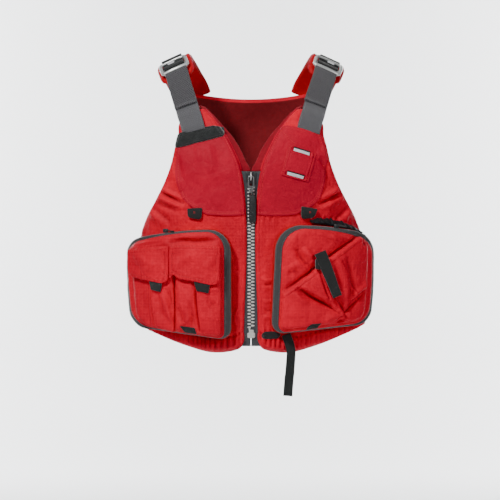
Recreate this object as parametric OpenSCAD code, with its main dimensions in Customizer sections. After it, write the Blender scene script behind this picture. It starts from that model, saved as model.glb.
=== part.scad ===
// Front-zip paddling life jacket, worn on a torso. Millimetres, +Z up.
// The origin is the middle of the torso opening at the front hem's height, the front faces -Y
// and +X is the wearer's left.

/* [Torso] */
// Half of the width over the closed jacket, without its pockets
half_width = 186; // [176:1:196]
// Depth from the torso's axis to the outside of the front
front_reach = 142; // [134:1:150]
// Depth from the torso's axis to the outside of the back
back_reach = 128; // [120:1:136]
// Power of the squared-off oval that the jacket follows round the torso
squareness = 2.5; // [2.3:0.1:2.8]

/* [Foam] */
// Thickness of the front foam
front_foam = 34; // [28:1:36]
// Thickness of the back foam
back_foam_depth = 24; // [18:1:28]
// Thickness of the sewn cloth
cloth = 1.2; // [0.8:0.1:1.5]

/* [Pockets] */
// Depth of the half of the pocket that stays on the jacket
pocket_base_depth = 14; // [12:1:18]
// Depth of the half of the pocket that opens
pocket_door_depth = 10; // [10:1:14]
// Width of the pocket's zip
pocket_zip_width = 4; // [3:0.5:5]

/* [Zip] */
// Spacing of the teeth along one side of the front zip
tooth_pitch = 5.4; // [4.4:0.2:6]
// Height of the slider's lower end when the front is closed
zip_top = 264; // [256:1:266]

/* [Straps] */
// Width of the shoulder webbing
shoulder_webbing = 38; // [36:1:40]
// Width of the waist strap's free end
waist_webbing = 15; // [13:1:16]
// Thickness of the webbing
webbing_thickness = 1.8; // [1.4:0.1:2.2]

/* [Hidden] */

red = "#c8202b";
dark_red = "#a81c28";
grey = "#55585c";
black = "#1d1f21";
silver = "#c9ccca";

// Heights
bust_z = 270; // the front is upright below this and leans back above it
blade_z = 360; // the back is upright below this and leans forward above it
hem_rise = 26; // how much higher the hem is at the sides than at the front
hem_blend = 120; // height over which that rise dies out
front_lean = 0.0031; // how fast the front leans back
back_lean = 0.0035; // how fast the back leans forward

// Offsets from the jacket's outer face, outwards
gap = 0.4; // between sewn layers
rim = 8; // how far a panel's outer face falls at its edge
foam_out = -cloth - 2 * gap;
foam_in = foam_out - front_foam;
liner_out = foam_in - gap;
liner_in = liner_out - cloth;
back_foam_in = foam_out - back_foam_depth;
back_liner_out = back_foam_in - gap;
on_yoke = 5 * gap + cloth; // what is sewn onto the chest starts here
base_in = 1;
base_out = base_in + pocket_base_depth;
zip_ring_in = base_out + gap;
zip_ring_out = zip_ring_in + pocket_zip_width;
door_in = zip_ring_out + gap;
door_out = door_in + pocket_door_depth;
pouch_in = door_out + gap;
pouch_out = pouch_in + 7;
flap_in = pouch_out + 1;
flap_out = flap_in + 1.8;

// ---------------------------------------------------------------- the torso's surface

function ease(t) = let (c = max(0, min(1, t))) c * c * (3 - 2 * c);
function mix(a, b, t) = a + (b - a) * t;
function unit(v) = v / norm(v);

function front_depth(z) = front_reach - front_lean * pow(max(0, z - bust_z), 2);
function back_depth(z) = back_reach - back_lean * pow(max(0, z - blade_z), 2);
function depth(phi, z) = cos(phi) >= 0 ? front_depth(z) : back_depth(z);
function depth_slope(phi, z) = cos(phi) >= 0
    ? -2 * front_lean * max(0, z - bust_z)
    : -2 * back_lean * max(0, z - blade_z);

// A point at angle phi round the torso, 0 at the front's middle and 90 on the wearer's left,
// at height z and the offset out from the jacket's outer face.
function on_torso(phi, z, out) =
    let (
        b = depth(phi, z),
        s = sin(phi),
        c = cos(phi),
        r = pow(pow(abs(s) / half_width, squareness) + pow(abs(c) / b, squareness), -1 / squareness),
        x = r * s,
        y = -r * c,
        across = sign(x) * pow(abs(x), squareness - 1) / pow(half_width, squareness),
        along = sign(y) * pow(abs(y), squareness - 1) / pow(b, squareness),
        up = -pow(abs(y) / b, squareness) * depth_slope(phi, z) / b
    )
    [x, y, z] + out * unit([across, along, up]);

// The angle at which the front has a given sideways distance from the middle.
function phi_at(x, z) =
    atan2(x, front_depth(z) * pow(max(0, 1 - pow(abs(x) / half_width, squareness)), 1 / squareness));

// The angle at which a point at the offset out has the given sideways distance from the middle.
function seen(x, z, out, low = 0, high = 89, steps = 14) =
    let (mid = (low + high) / 2)
        steps == 0 ? mid
        : on_torso(mid, z, out)[0] < x ? seen(x, z, out, mid, high, steps - 1)
        : seen(x, z, out, low, mid, steps - 1);
function outline(corners, out) = [for (c = corners) [seen(c[0], c[1], out), c[1]]];

function lifted(phi, z) = z + hem_rise * pow(sin(phi), 2) * (1 - ease(z / hem_blend));

// ---------------------------------------------------------------- solids made of sewn sheets

// The triangles of a band between two rows of n points, which start at a and b.
function band(a, b, n, closed) = [
    for (i = [0 : closed ? n - 1 : n - 2])
        let (k = (i + 1) % n)
            each [[a + i, a + k, b + k], [a + i, b + k, b + i]]
];

// The same triangles, facing the other way.
function turned(faces) = [for (f = faces) [f[0], f[2], f[1]]];

// A panel between rows of [height, first angle, last angle, last height]. Its outer and inner
// faces are at the offsets out and in, and fall by drop and draw towards its edge, and by lap
// along the first angles.
module panel(rows, cols, in, out, drop = 0, draw = 0, lap = undef) {
    n = cols + 1;
    last = len(rows) - 1;
    function fall(i, j, most) =
        j == 0 && lap != undef ? min(most, lap)
        : i == 0 || i == last || j == 0 || j == cols ? most
        : 0;
    function spot(i, j, offset) =
        let (
            r = rows[i],
            phi = mix(r[1], r[2], j / cols),
            z = len(r) > 3 ? mix(r[0], r[3], j / cols) : r[0]
        )
            on_torso(phi, lifted(phi, z), offset);
    outer = [for (i = [0 : last], j = [0 : cols]) spot(i, j, out - fall(i, j, drop))];
    inner = [for (i = [0 : last], j = [0 : cols]) spot(i, j, in - fall(i, j, draw))];
    back = len(outer);
    loop = concat(
        [for (j = [0 : cols - 1]) j],
        [for (i = [0 : last - 1]) i * n + cols],
        [for (j = [cols : -1 : 1]) last * n + j],
        [for (i = [last : -1 : 1]) i * n]
    );
    polyhedron(
        concat(outer, inner),
        concat(
            [for (i = [0 : last - 1]) each band(i * n + n, i * n, n, false)],
            [for (i = [0 : last - 1]) each turned(band(back + i * n + n, back + i * n, n, false))],
            [for (k = [0 : len(loop) - 1])
                let (a = loop[k], b = loop[(k + 1) % len(loop)])
                    each [[a, b, back + b], [a, back + b, back + a]]]
        )
    );
}

// A square from -1 to 1 with round corners, as a loop of points. The corners' radii are given
// from the lower left-hand one as the wearer sees it, upwards and round.
function unit_loop(round_u, round_v, arc, long, short) = [
    for (corner = [0 : 3])
        let (
            after = (corner + 1) % 4,
            here = arc_point(corner, 90, round_u[corner], round_v[corner]),
            next = arc_point(after, 0, round_u[after], round_v[after]),
            parts = corner % 2 == 0 ? short : long
        )
            each concat(
                [for (k = [0 : arc]) arc_point(corner, 90 * k / arc, round_u[corner], round_v[corner])],
                [for (m = [1 : 1 : parts - 1]) mix(here, next, m / parts)]
            )
];
function arc_point(corner, turn, round_u, round_v) =
    let (side = [[1, -1], [1, 1], [-1, 1], [-1, -1]][corner], a = 90 * (corner - 1) + turn)
        [side[0] * (1 - round_u) + round_u * cos(a), side[1] * (1 - round_v) + round_v * sin(a)];

// A point of a four-cornered patch, whose corners are [angle, height] from the lower right-hand
// one as the wearer sees it: low right, low left, high left, high right.
function patch_point(quad, uv) =
    let (s = (uv[0] + 1) / 2, t = (uv[1] + 1) / 2)
        mix(mix(quad[0], quad[1], s), mix(quad[3], quad[2], s), t);
function patch_spot(quad, uv, out) =
    let (p = patch_point(quad, uv)) on_torso(p[0], p[1], out);

// The triangles that close a loop by rungs from its upper to its lower side.
function ladder(arc, long) =
    let (n = 4 * arc + 2 * long + 2)
        [for (k = [0 : 2 * arc + long - 1])
            let (low = (arc - k + n) % n, next = (arc - k - 1 + n) % n, high = arc + 1 + k)
                each [[low, high, high + 1], [low, high + 1, next]]];

// A patch's solid: stations of [inset from the patch's edge, offset], each of which is a loop.
// A closed row of stations is a ring. An open one ends in a point at the patch's middle, or in
// upright rungs where there are no points between the ends of its short sides.
module patch(quad, radius, stations, ring = false, arc = 3, long = 4, short = 2) {
    half_u = norm(patch_spot(quad, [1, 0], 0) - patch_spot(quad, [-1, 0], 0)) / 2;
    half_v = norm(patch_spot(quad, [0, 1], 0) - patch_spot(quad, [0, -1], 0)) / 2;
    radii = is_list(radius) ? radius : [radius, radius, radius, radius];
    loop = unit_loop(radii / half_u, radii / half_v, arc, long, short);
    n = len(loop);
    m = len(stations);
    rings = [
        for (s = stations, p = loop)
            patch_spot(quad, [p[0] * (1 - s[0] / half_u), p[1] * (1 - s[0] / half_v)], s[1])
    ];
    rungs = short == 1;
    poles = [patch_spot(quad, [0, 0], stations[0][1]), patch_spot(quad, [0, 0], stations[m - 1][1])];
    cap = rungs ? ladder(arc, long) : [];
    polyhedron(
        concat(rings, ring || rungs ? [] : poles),
        concat(
            [for (k = [0 : ring ? m - 1 : m - 2]) each band(k * n, ((k + 1) % m) * n, n, true)],
            turned(cap),
            [for (f = cap) f + [1, 1, 1] * (m - 1) * n],
            ring || rungs ? [] : [for (i = [0 : n - 1]) [m * n, (i + 1) % n, i]],
            ring || rungs ? [] : [for (i = [0 : n - 1]) [m * n + 1, (m - 1) * n + i, (m - 1) * n + (i + 1) % n]]
        )
    );
}

// A plain pad on a patch.
function pad_stations(in, out, drop, fold) = [[fold, in], [0, in], [0, out - drop], [fold, out]];

// A strip through stations of [middle, half its width as a vector, its thickness as a vector].
module ribbon(stations) {
    m = len(stations);
    points = [
        for (s = stations)
            each [s[0] - s[1], s[0] + s[1], s[0] + s[1] + s[2], s[0] - s[1] + s[2]]
    ];
    end = (m - 1) * 4;
    polyhedron(
        points,
        concat(
            [for (k = [0 : m - 2]) each band(k * 4, k * 4 + 4, 4, true)],
            [[2, 1, 0], [3, 2, 0], [end, end + 1, end + 2], [end, end + 2, end + 3]]
        )
    );
}

module on_right() {
    mirror([1, 0, 0]) children();
}

// ---------------------------------------------------------------- front panels

neck_z = 293; // foot of the V neck
zip_edge = 12; // from the middle to the front panel's edge beside the zip
neck_flare = 0.66; // how fast the V neck opens
lap = 3; // how far the cover falls beside the zip
side_seam = 80; // angle of the front panel's edge under the arm

function neck_x(z) = max(zip_edge, 10 + (z - neck_z) * neck_flare);

// The armhole's edge, as [height, distance from the middle].
armhole = [[389, 88], [378, 108], [362, 119], [345, 120], [326, 125], [293, 133], [265, 144], [235, 160]];
// The front panel's rows under the armhole, as [height, angle].
flank = [[205, 70], [180, 77], [140, side_seam], [95, side_seam], [50, side_seam], [0, side_seam]];

front_rows = concat(
    [for (r = [len(flank) - 1 : -1 : 0]) [flank[r][0], phi_at(zip_edge, flank[r][0]), flank[r][1]]],
    [for (r = [len(armhole) - 1 : -1 : 0])
        let (z = armhole[r][0]) [z, phi_at(neck_x(z), z), phi_at(armhole[r][1], z)]]
);
front_cols = 9;

module front_foam() {
    inset = 1.5; // degrees, so that the foam stops short of the cover's seams
    rows = [for (r = front_rows) [r[0] + (r[0] == 0 ? 6 : 0), r[1] + inset, r[2] - inset]];
    color("#d8d8d2") panel(rows, front_cols, foam_in, foam_out, rim, -4);
}
module front_cover() {
    color(red) panel(front_rows, front_cols, -cloth, 0, rim, rim, lap);
}
module front_liner() {
    color(dark_red) panel(front_rows, front_cols, liner_in, liner_out);
}

// The plain overlay on the chest, as [height, distance of its outer edge from the middle].
yoke_edge = [[213, 70], [221, 88], [234, 105], [252, 115], [275, 120], [300, 121], [325, 117], [342, 112]];
yoke_rise = 13; // how much higher its upper edge is beside the neck
module chest_yoke() {
    rows = [
        for (e = yoke_edge)
            let (inner_z = e[0] + yoke_rise * ease((e[0] - 275) / 67))
                [inner_z, phi_at(neck_x(inner_z) + 3, inner_z), phi_at(e[1], e[0]), e[0]]
    ];
    color(dark_red) panel(rows, 6, 2 * gap, 2 * gap + cloth);
}

// The facing that shows along the V neck, beside and behind the cover's edge.
facing_rows = [for (z = [neck_z + 4 : 11 : 390]) z];
facing_width = 8;
module neck_facing() {
    rows = [
        for (z = facing_rows)
            [z, phi_at(max(2, neck_x(z) - facing_width), z), phi_at(neck_x(z) - 1, z)]
    ];
    color(dark_red) panel(rows, 2, -14, -14 + cloth);
}

// ---------------------------------------------------------------- front zip

tape_in = 5.3; // from the middle to the tape's beaded edge
tape_out = 14.5;
zip_plane = front_reach - 6; // depth of the middle of the tape
tape_thickness = 1;
tooth_half = 5; // from the middle to the back of a tooth
tooth_gap = 0.75; // from the middle to the tip of a tooth
tooth_depth = 3.2;
zip_bottom = 16; // the retainer box's lower end
box_height = 12;
slider_length = 18;
slider_half = 6.6;
tape_top_notch = zip_top - 2; // the tape narrows above this, beside the slider

module centred_box(x0, x1, y_mid, y_size, z0, z1) {
    translate([x0, y_mid - y_size / 2, z0]) cube([x1 - x0, y_size, z1 - z0]);
}

module zip_tape() {
    color(grey) difference() {
        centred_box(tape_in, tape_out, -zip_plane, tape_thickness, 4, neck_z - 11);
        centred_box(0, slider_half + 2, -zip_plane, 4, tape_top_notch, neck_z);
        centred_box(0, slider_half + 1, -zip_plane, 4, 0, zip_bottom + box_height + 1);
    }
}

// One side's teeth, on the bead that joins them. The other side's stand half a pitch higher.
module zip_teeth(shift) {
    bottom = zip_bottom + box_height + 4;
    count = floor((zip_top - 2 - bottom - shift) / tooth_pitch);
    color(silver) union() {
        centred_box(tooth_half - 1.2, tooth_half, -zip_plane, tooth_depth - 0.8, bottom, zip_top - 2);
        for (k = [0 : count - 1])
            centred_box(tooth_gap, tooth_half, -zip_plane, tooth_depth,
                bottom + shift + k * tooth_pitch, bottom + shift + k * tooth_pitch + 1.9);
    }
}

module zip_box() {
    top = zip_bottom + box_height;
    color(silver) difference() {
        centred_box(-5.6, 6.2, -zip_plane, 5, zip_bottom, top);
        centred_box(-4.6, -1.2, -zip_plane, 3, zip_bottom + 2, top + 1);
    }
}

// The pin stands above the box, which it drops into as the front is closed.
module zip_pin() {
    foot = zip_bottom + box_height + 0.4;
    color(silver) centred_box(tooth_gap + 0.6, tooth_half, -zip_plane, 2.2, foot, foot + 3.2);
}

bail_radius = 1;
puller_pin = 0.92;
bail_out = 4; // how far the bail's hole stands out from the slider's face
slider_plate = 1.4;
slider_gap = 4; // between the plates
slider_face = zip_plane + slider_gap / 2 + slider_plate;
bail_z = zip_top + 10;

module zip_slider() {
    z0 = zip_top;
    z1 = zip_top + slider_length;
    color(silver) union() {
        for (side = [-1, 1])
            translate([0, side * (slider_gap + slider_plate) / 2, 0])
                centred_box(-slider_half, slider_half, -zip_plane, slider_plate, z0, z1);
        centred_box(-0.45, 0.45, -zip_plane, slider_gap + 1, z1 - 6, z1);
        for (side = [-1, 1], face = [-1, 1])
            translate([side * (slider_half - 0.5), face * (slider_gap / 2 - 0.55), 0])
                centred_box(-0.5, 0.5, -zip_plane, 1.2, z0, z1);
        difference() {
            translate([-0.9, -slider_face - bail_out - 2.2, bail_z - 5]) cube([1.8, bail_out + 2.4, 10]);
            translate([-2, -slider_face - bail_out + 1, bail_z]) rotate([0, 90, 0])
                cylinder(r = bail_radius, h = 4, $fn = 32);
        }
    }
}

puller_axis = slider_face + bail_out - 1;
puller_end = bail_z - 26;

module zip_puller() {
    color(silver) union() {
        translate([-3.4, -puller_axis, bail_z]) rotate([0, 90, 0])
            cylinder(r = puller_pin, h = 6.8, $fn = 32);
        for (side = [-1, 1])
            centred_box(side * 2.5 - 0.9, side * 2.5 + 0.9, -puller_axis, 2, bail_z - 13, bail_z + 1.4);
        centred_box(-3.4, 3.4, -puller_axis, 2, puller_end + 3, bail_z - 12);
        difference() {
            centred_box(-3.4, 3.4, -puller_axis, 2, puller_end - 2.4, puller_end + 4);
            translate([-5, -puller_axis, puller_end]) rotate([0, 90, 0])
                cylinder(r = bail_radius + 2.1, h = 10, $fn = 32);
        }
        for (side = [-1, 1])
            translate([side * 2.9, -puller_axis, puller_end]) rotate([0, 90, 0]) difference() {
                cylinder(r = 3.1, h = 1, center = true, $fn = 32);
                cylinder(r = bail_radius, h = 3, center = true, $fn = 32);
            }
    }
}

tab_length = 48;
tab_shift = 2.6; // the tab hangs a little towards the wearer's left
module pull_tab() {
    color(black) union() {
        translate([-2.2, -puller_axis, puller_end]) rotate([0, 90, 0])
            cylinder(r = 1.6, h = 4.4, $fn = 32);
        translate([-3.9, -puller_axis, puller_end]) rotate([0, 90, 0])
            cylinder(r = puller_pin, h = 7.8, $fn = 32);
        centred_box(-1.8, 2.2, -puller_axis, 2.2, puller_end - 8, puller_end);
        centred_box(tab_shift - 5.5, tab_shift + 5.5, -puller_axis, 3.2, puller_end - tab_length, puller_end - 5);
    }
}

// ---------------------------------------------------------------- shoulders

// The buckle's place and its directions: across the webbing, up the shoulder and outwards.
buckle_at = [125.8, -29, 458.5];
buckle_side = unit([0.91, 0.05, -0.412]);
buckle_lean = [0.12, 0.75, 0.62];
buckle_up = unit(buckle_lean - (buckle_lean * buckle_side) * buckle_side);
buckle_out = cross(buckle_side, buckle_up);
function near_buckle(up, out) = buckle_at + up * buckle_up + out * buckle_out;

// The shoulder webbing runs from the chest's seam to the buckle.
chest_side = unit([0.954, 0.12, -0.269]);
function on_chest(x, z) = on_torso(seen(x, z, 1.6), z, 1.6);
strap_line = [
    on_chest(94.4, 356), on_chest(97, 365), on_chest(99.8, 374), [104.8, -87.5, 392], [112.5, -68, 416.6],
    [117, -56, 431.5], near_buckle(-19, 0.4)
];
module shoulder_strap() {
    last = len(strap_line) - 1;
    function run(k) = unit(strap_line[min(last, k + 1)] - strap_line[max(0, k - 1)]);
    function side(k) =
        let (s = mix(chest_side, buckle_side, k / last)) unit(s - (s * run(k)) * run(k));
    color(grey) ribbon([
        for (k = [0 : last])
            [strap_line[k], side(k) * shoulder_webbing / 2, cross(side(k), run(k)) * webbing_thickness]
    ]);
}

// Moves what is drawn flat, with +Y up the shoulder and +Z outwards, to the buckle.
module at_buckle() {
    s = buckle_side;
    u = buckle_up;
    o = buckle_out;
    p = buckle_at;
    multmatrix([[s[0], u[0], o[0], p[0]], [s[1], u[1], o[1], p[1]], [s[2], u[2], o[2], p[2]], [0, 0, 0, 1]])
        children();
}

module rounded_plate(w, h, r, t) {
    linear_extrude(t) union() {
        square([w - 2 * r, h], center = true);
        square([w, h - 2 * r], center = true);
        for (x = [-1, 1], y = [-1, 1])
            translate([x * (w / 2 - r), y * (h / 2 - r)]) circle(r, $fn = 32);
    }
}

buckle_w = 47;
buckle_h = 30;
module shoulder_buckle() {
    window_w = shoulder_webbing + 1.5;
    color(silver) at_buckle() union() {
        difference() {
            rounded_plate(buckle_w, buckle_h, 5, 4);
            translate([0, -7.6, 2]) cube([window_w, 7, 6], center = true);
            translate([0, 6.2, 2]) cube([window_w, 11, 6], center = true);
        }
        translate([-buckle_w / 2 + 1, -1.2, 2]) rotate([0, 90, 0]) cylinder(r = 1.6, h = buckle_w - 2, $fn = 32);
    }
}

module buckle_loop() {
    color(black) at_buckle() translate([-18, 9, -3.2]) cube([36, 15, webbing_thickness]);
}

// The padded yoke over the shoulder, as [middle of its outer face, half its width]. Its front
// end is under the buckle and its back end is on the back panel.
pad_line = [
    [near_buckle(-24, -5), 24], [near_buckle(-12, -5.4), 28], [near_buckle(4, -5.6), 29],
    [near_buckle(20, -5.4), 29], [[128.6, 8, 472], 29], [[127.5, 30, 471.5], 29.5],
    [[122, 56, 463], 30], [[113.5, 80, 448], 30.5], [[104, 98, 431], 31]
];
pad_thickness = 9;
module shoulder_pad() {
    last = len(pad_line) - 1;
    function run(k) = unit(pad_line[min(last, k + 1)][0] - pad_line[max(0, k - 1)][0]);
    function side(k) =
        let (s = unit(mix(buckle_side, [0.98, -0.02, -0.2], ease(k / last - 0.3))))
            unit(s - (s * run(k)) * run(k));
    color(red) ribbon([
        for (k = [0 : last])
            [pad_line[k][0], side(k) * pad_line[k][1], pad_thickness * cross(run(k), side(k))]
    ]);
}

// ---------------------------------------------------------------- back and sides

function back_rows(table) = [for (r = table) [r[0], 180 - r[1], 180 + r[1]]];
back_table = [[214, 60], [240, 60], [270, 57], [305, 52], [340, 49], [375, 48], [405, 50], [426, 51]];
mesh_table = [[10, 75], [50, 75], [95, 74], [140, 72], [180, 68], [209, 62]];

module back_foam() {
    rows = [for (r = back_rows(back_table)) [r[0], r[1] + 1.5, r[2] - 1.5]];
    color("#d8d8d2") panel(rows, 10, back_foam_in, foam_out, rim, -3);
}
module back_cover() {
    color(red) panel(back_rows(back_table), 10, -cloth, 0, rim, rim);
}
module back_liner() {
    color(dark_red) panel(back_rows(back_table), 10, back_liner_out - cloth, back_liner_out);
}
module back_mesh() {
    color(black) panel(back_rows(mesh_table), 12, back_liner_out - cloth - 2, back_liner_out - 2);
}

// The stretch panel under the arm, between the front panel and the mesh.
module side_panel() {
    rows = [for (z = [6, 40, 80, 120, 160, 184]) [z, side_seam + 5, 103]];
    color(black) panel(rows, 3, liner_in + 4, liner_in + 6.5);
}

// Two adjusting straps a side, from the mesh towards the front's ladder buckles.
side_strap_z = [62, 146];
side_strap_parts = 6;
module side_strap(z) {
    function spot(k, out) = on_torso(mix(84, 128, k / side_strap_parts), z, mix(-6, -25, k / side_strap_parts) + out);
    color(black) ribbon([
        for (k = [0 : side_strap_parts])
            [spot(k, 0), [0, 0, 10], spot(k, webbing_thickness) - spot(k, 0)]
    ]);
}
module side_straps() {
    for (z = side_strap_z) {
        side_strap(z);
        on_right() side_strap(z);
    }
}
module side_buckle(z) {
    quad = [[70, z - 13], [77, z - 13], [77, z + 13], [70, z + 13]];
    color(black) patch(quad, 2, [[0, 1], [0, 5], [4, 5], [4, 1]], ring = true);
}
module side_buckles() {
    for (z = side_strap_z) side_buckle(z);
}

// ---------------------------------------------------------------- pockets

// The two pockets differ a little. Their corners are [distance from the middle, height] of the
// door's face, and each has its own radius.
right_pocket = [outline([[33, 17], [190, 39], [198, 166], [34, 192]], door_out), [22, 16, 30, 22]];
left_pocket = [outline([[37, 26], [190, 45], [196, 172], [40, 200]], door_out), [22, 20, 40, 20]];
pocket_wall = 2;

module pocket_ring(pocket, in, out) {
    patch(pocket[0], pocket[1], [[0, in], [0, out], [pocket_wall, out], [pocket_wall, in]],
        ring = true, arc = 4, long = 6);
}
module pocket_base(pocket) {
    color(red) pocket_ring(pocket, base_in, base_out);
}
module pocket_zip(pocket) {
    color(grey) pocket_ring(pocket, zip_ring_in, zip_ring_out);
}
// The door is a dish: its rim stands on the zip and its face is closed.
module pocket_door(pocket) {
    under = door_out - pocket_wall;
    color(red) patch(pocket[0], pocket[1], [
        [pocket_wall, under], [pocket_wall, door_in], [0, door_in], [0, door_out - 3], [4, door_out]
    ], arc = 4, long = 12, short = 1);
}

// The slider of a pocket's zip, on the pocket's top, and its pull.
module pocket_slider(pocket, x) {
    q = pocket[0];
    phi = seen(x, q[2][1], door_in);
    edge = mix(q[3][1], q[2][1], (phi - q[3][0]) / (q[2][0] - q[3][0]));
    spot = on_torso(phi, edge, (zip_ring_in + zip_ring_out) / 2);
    color(black) translate(spot + [0, 0, 3.8]) rotate([0, 10, 0.8 * phi]) union() {
        translate([-6, -4, 0]) cube([12, 8, 2.4]);
        translate([-5, -1.5, 2]) cube([22, 3, 2.4]);
    }
}
pocket_slider_x = 138;

// Small black tabs, with their corners as [distance from the middle, height].
module tab(corners, in, out, radius = 2) {
    color(black) patch(outline(corners, out), radius, pad_stations(in, out, 0.5, 3), arc = 2, long = 2, short = 1);
}
module lash_tab() {
    tab([[79, 209], [104, 206], [107, 220], [83, 227]], on_yoke, 5.4);
}

// Right-hand pocket: two pouches, each with its flap, the outer one towards the arm.
pouch_corners = [
    [[134, 36], [186, 44], [191, 150], [134, 156]],
    [[50, 26], [126, 34], [126, 158], [52, 158]]
];
module cargo_pouches() {
    color(red) for (c = pouch_corners)
        patch(outline(c, pouch_out), 7, pad_stations(pouch_in, pouch_out, 5, 7), arc = 2, long = 8, short = 1);
}
flap_corners = [
    [[132.6, 104], [196, 112], [197, 155], [132.6, 162.5]],
    [[51, 100], [131.4, 111], [131.4, 162.5], [50, 162]]
];
flap_radii = [[8, 2, 2, 9], [10, 2, 2, 9]];
module flap(k) {
    color(red) patch(outline(flap_corners[k], flap_out), flap_radii[k], pad_stations(flap_in, flap_out, 0.6, 4),
        arc = 2, long = 8, short = 1);
}
flap_tab_corners = [
    [[144, 92], [160, 95], [162, 107], [143, 105]],
    [[68, 91], [87, 94], [91, 106], [67, 103]]
];
module flap_tab(k) {
    tab(flap_tab_corners[k], flap_out + gap, flap_out + 2, 1.5);
}
pocket_tab_corners = [
    [[91, 26], [111, 30], [113, 38], [90, 36]],
    [[88, 31], [108, 34], [112, 41], [90, 40]]
];
module pocket_tab(k) {
    tab(pocket_tab_corners[k], pouch_out + gap, pouch_out + 2, 1.5);
}

// Left-hand pocket: a tool pouch with a slanting mouth, and the strap that holds the tool.
module tool_pouch() {
    corners = [[45, 34], [184, 52], [188, 168], [49, 86]];
    color(red) patch(outline(corners, pouch_out), [14, 10, 6, 14], pad_stations(pouch_in, pouch_out, 4, 7),
        long = 12, short = 1);
}
module tool_strap() {
    strap_in = pouch_out + 1;
    corners = [[131, 84], [143, 89], [116, 158.5], [104, 153.5]];
    color(black) patch(outline(corners, strap_in + 2.6), 1.5, pad_stations(strap_in, strap_in + 2.6, 0.4, 3),
        arc = 2, long = 1, short = 4);
}

// ---------------------------------------------------------------- chest fittings and waist strap

module loop_strip() {
    corners = [[40, 339], [123, 317], [119, 343], [46, 355]];
    color(black) patch(outline(corners, 6.5), 8, pad_stations(on_yoke, 6.5, 1, 4));
}

// A square of stiffened cloth with two slits for a lashing.
plate_corners = [[47, 277], [93, 265], [106, 312], [60, 326]];
module lash_plate() {
    quad = outline(plate_corners, 5.4);
    color(red) difference() {
        patch(quad, 3, pad_stations(on_yoke, 5.4, 0.6, 3), arc = 2);
        for (v = [0.68, -0.68]) {
            low = patch_spot(quad, [-0.52, v], 0);
            high = patch_spot(quad, [0.52, v], 0);
            run = high - low;
            translate((low + high) / 2 - [0, 3, 0])
                rotate([0, -atan2(run[2], run[0]), atan2(run[1], run[0])])
                    cube([norm(run), 22, 3.6], center = true);
        }
    }
}

module strap_keeper() {
    tab([[19, 16], [47, 17], [45, 27], [21, 27]], 1, 4, 4);
}

// The waist strap's free end: it leaves the tunnel under the pocket and hangs below the hem.
waist_route = [
    [56, -142, 22], [58.5, -142.3, 15], [61, -142.6, 8], [63, -142.6, 1], [64, -142.2, -6],
    [64, -141.4, -13], [63.5, -140.5, -20], [63, -139.5, -27], [62.5, -138.5, -34], [62, -137.5, -41],
    [61, -136.6, -48], [60.5, -135.8, -55], [60, -135, -62], [59.5, -134.4, -69], [59, -134, -77]
];
strap_sides = 8;
module waist_strap() {
    m = len(waist_route);
    function run(k) = unit(waist_route[min(m - 1, k + 1)] - waist_route[max(0, k - 1)]);
    function side(k) = let (s = [cos(7), sin(7), 0], t = run(k)) unit(s - (s * t) * t);
    points = [
        for (k = [0 : m - 1], i = [0 : strap_sides - 1])
            let (a = 360 * (i + 0.5) / strap_sides, wide = cos(a) / cos(22.5), thick = sin(a) / sin(67.5))
                waist_route[k] + side(k) * wide * waist_webbing / 2
                    + cross(run(k), side(k)) * thick * webbing_thickness / 2
    ];
    end = (m - 1) * strap_sides;
    color(black) polyhedron(
        points,
        concat(
            [for (k = [0 : m - 2]) each band(k * strap_sides, (k + 1) * strap_sides, strap_sides, true)],
            [for (i = [1 : strap_sides - 2]) [0, i + 1, i]],
            [for (i = [1 : strap_sides - 2]) [end, end + i, end + i + 1]]
        )
    );
}

// ---------------------------------------------------------------- the nodes

back_foam();
back_cover();
back_liner();
back_mesh();
on_right() shoulder_pad();  // shoulder_pad_right
shoulder_pad();  // shoulder_pad_left
on_right() side_panel();  // side_panel_right
side_panel();  // side_panel_left
side_straps();
union() {  // buckle_loops
    buckle_loop();
    on_right() buckle_loop();
}
on_right() front_foam();  // front_foam_right
on_right() front_cover();  // front_cover_right
on_right() front_liner();  // front_liner_right
on_right() chest_yoke();  // chest_yoke_right
on_right() neck_facing();  // neck_facing_right
on_right() zip_tape();  // zip_tape_right
on_right() zip_teeth(0);  // zip_teeth_right
on_right() zip_pin();
on_right() shoulder_strap();  // shoulder_strap_right
on_right() pocket_base(right_pocket);  // pocket_base_right
on_right() lash_tab();  // lash_tab_right
on_right() loop_strip();
on_right() side_buckles();  // side_buckles_right
front_foam();  // front_foam_left
front_cover();  // front_cover_left
front_liner();  // front_liner_left
chest_yoke();  // chest_yoke_left
neck_facing();  // neck_facing_left
zip_tape();  // zip_tape_left
zip_teeth(tooth_pitch / 2);  // zip_teeth_left
zip_box();
shoulder_strap();  // shoulder_strap_left
pocket_base(left_pocket);  // pocket_base_left
lash_tab();  // lash_tab_left
lash_plate();
side_buckles();  // side_buckles_left
waist_strap();
strap_keeper();
zip_slider();
zip_puller();
pull_tab();
on_right() shoulder_buckle();  // shoulder_buckle_right
shoulder_buckle();  // shoulder_buckle_left
on_right() pocket_door(right_pocket);  // pocket_door_right
on_right() pocket_zip(right_pocket);  // pocket_zip_right
on_right() cargo_pouches();
on_right() flap(0);  // flap_outer
on_right() flap(1);  // flap_inner
on_right() flap_tab(0);  // flap_tab_outer
on_right() flap_tab(1);  // flap_tab_inner
on_right() pocket_tab(0);  // pocket_tab_right
on_right() pocket_slider(right_pocket, pocket_slider_x);  // pocket_slider_right
pocket_door(left_pocket);  // pocket_door_left
pocket_zip(left_pocket);  // pocket_zip_left
tool_pouch();
tool_strap();
pocket_tab(1);  // pocket_tab_left
pocket_slider(left_pocket, pocket_slider_x);  // pocket_slider_left
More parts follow.
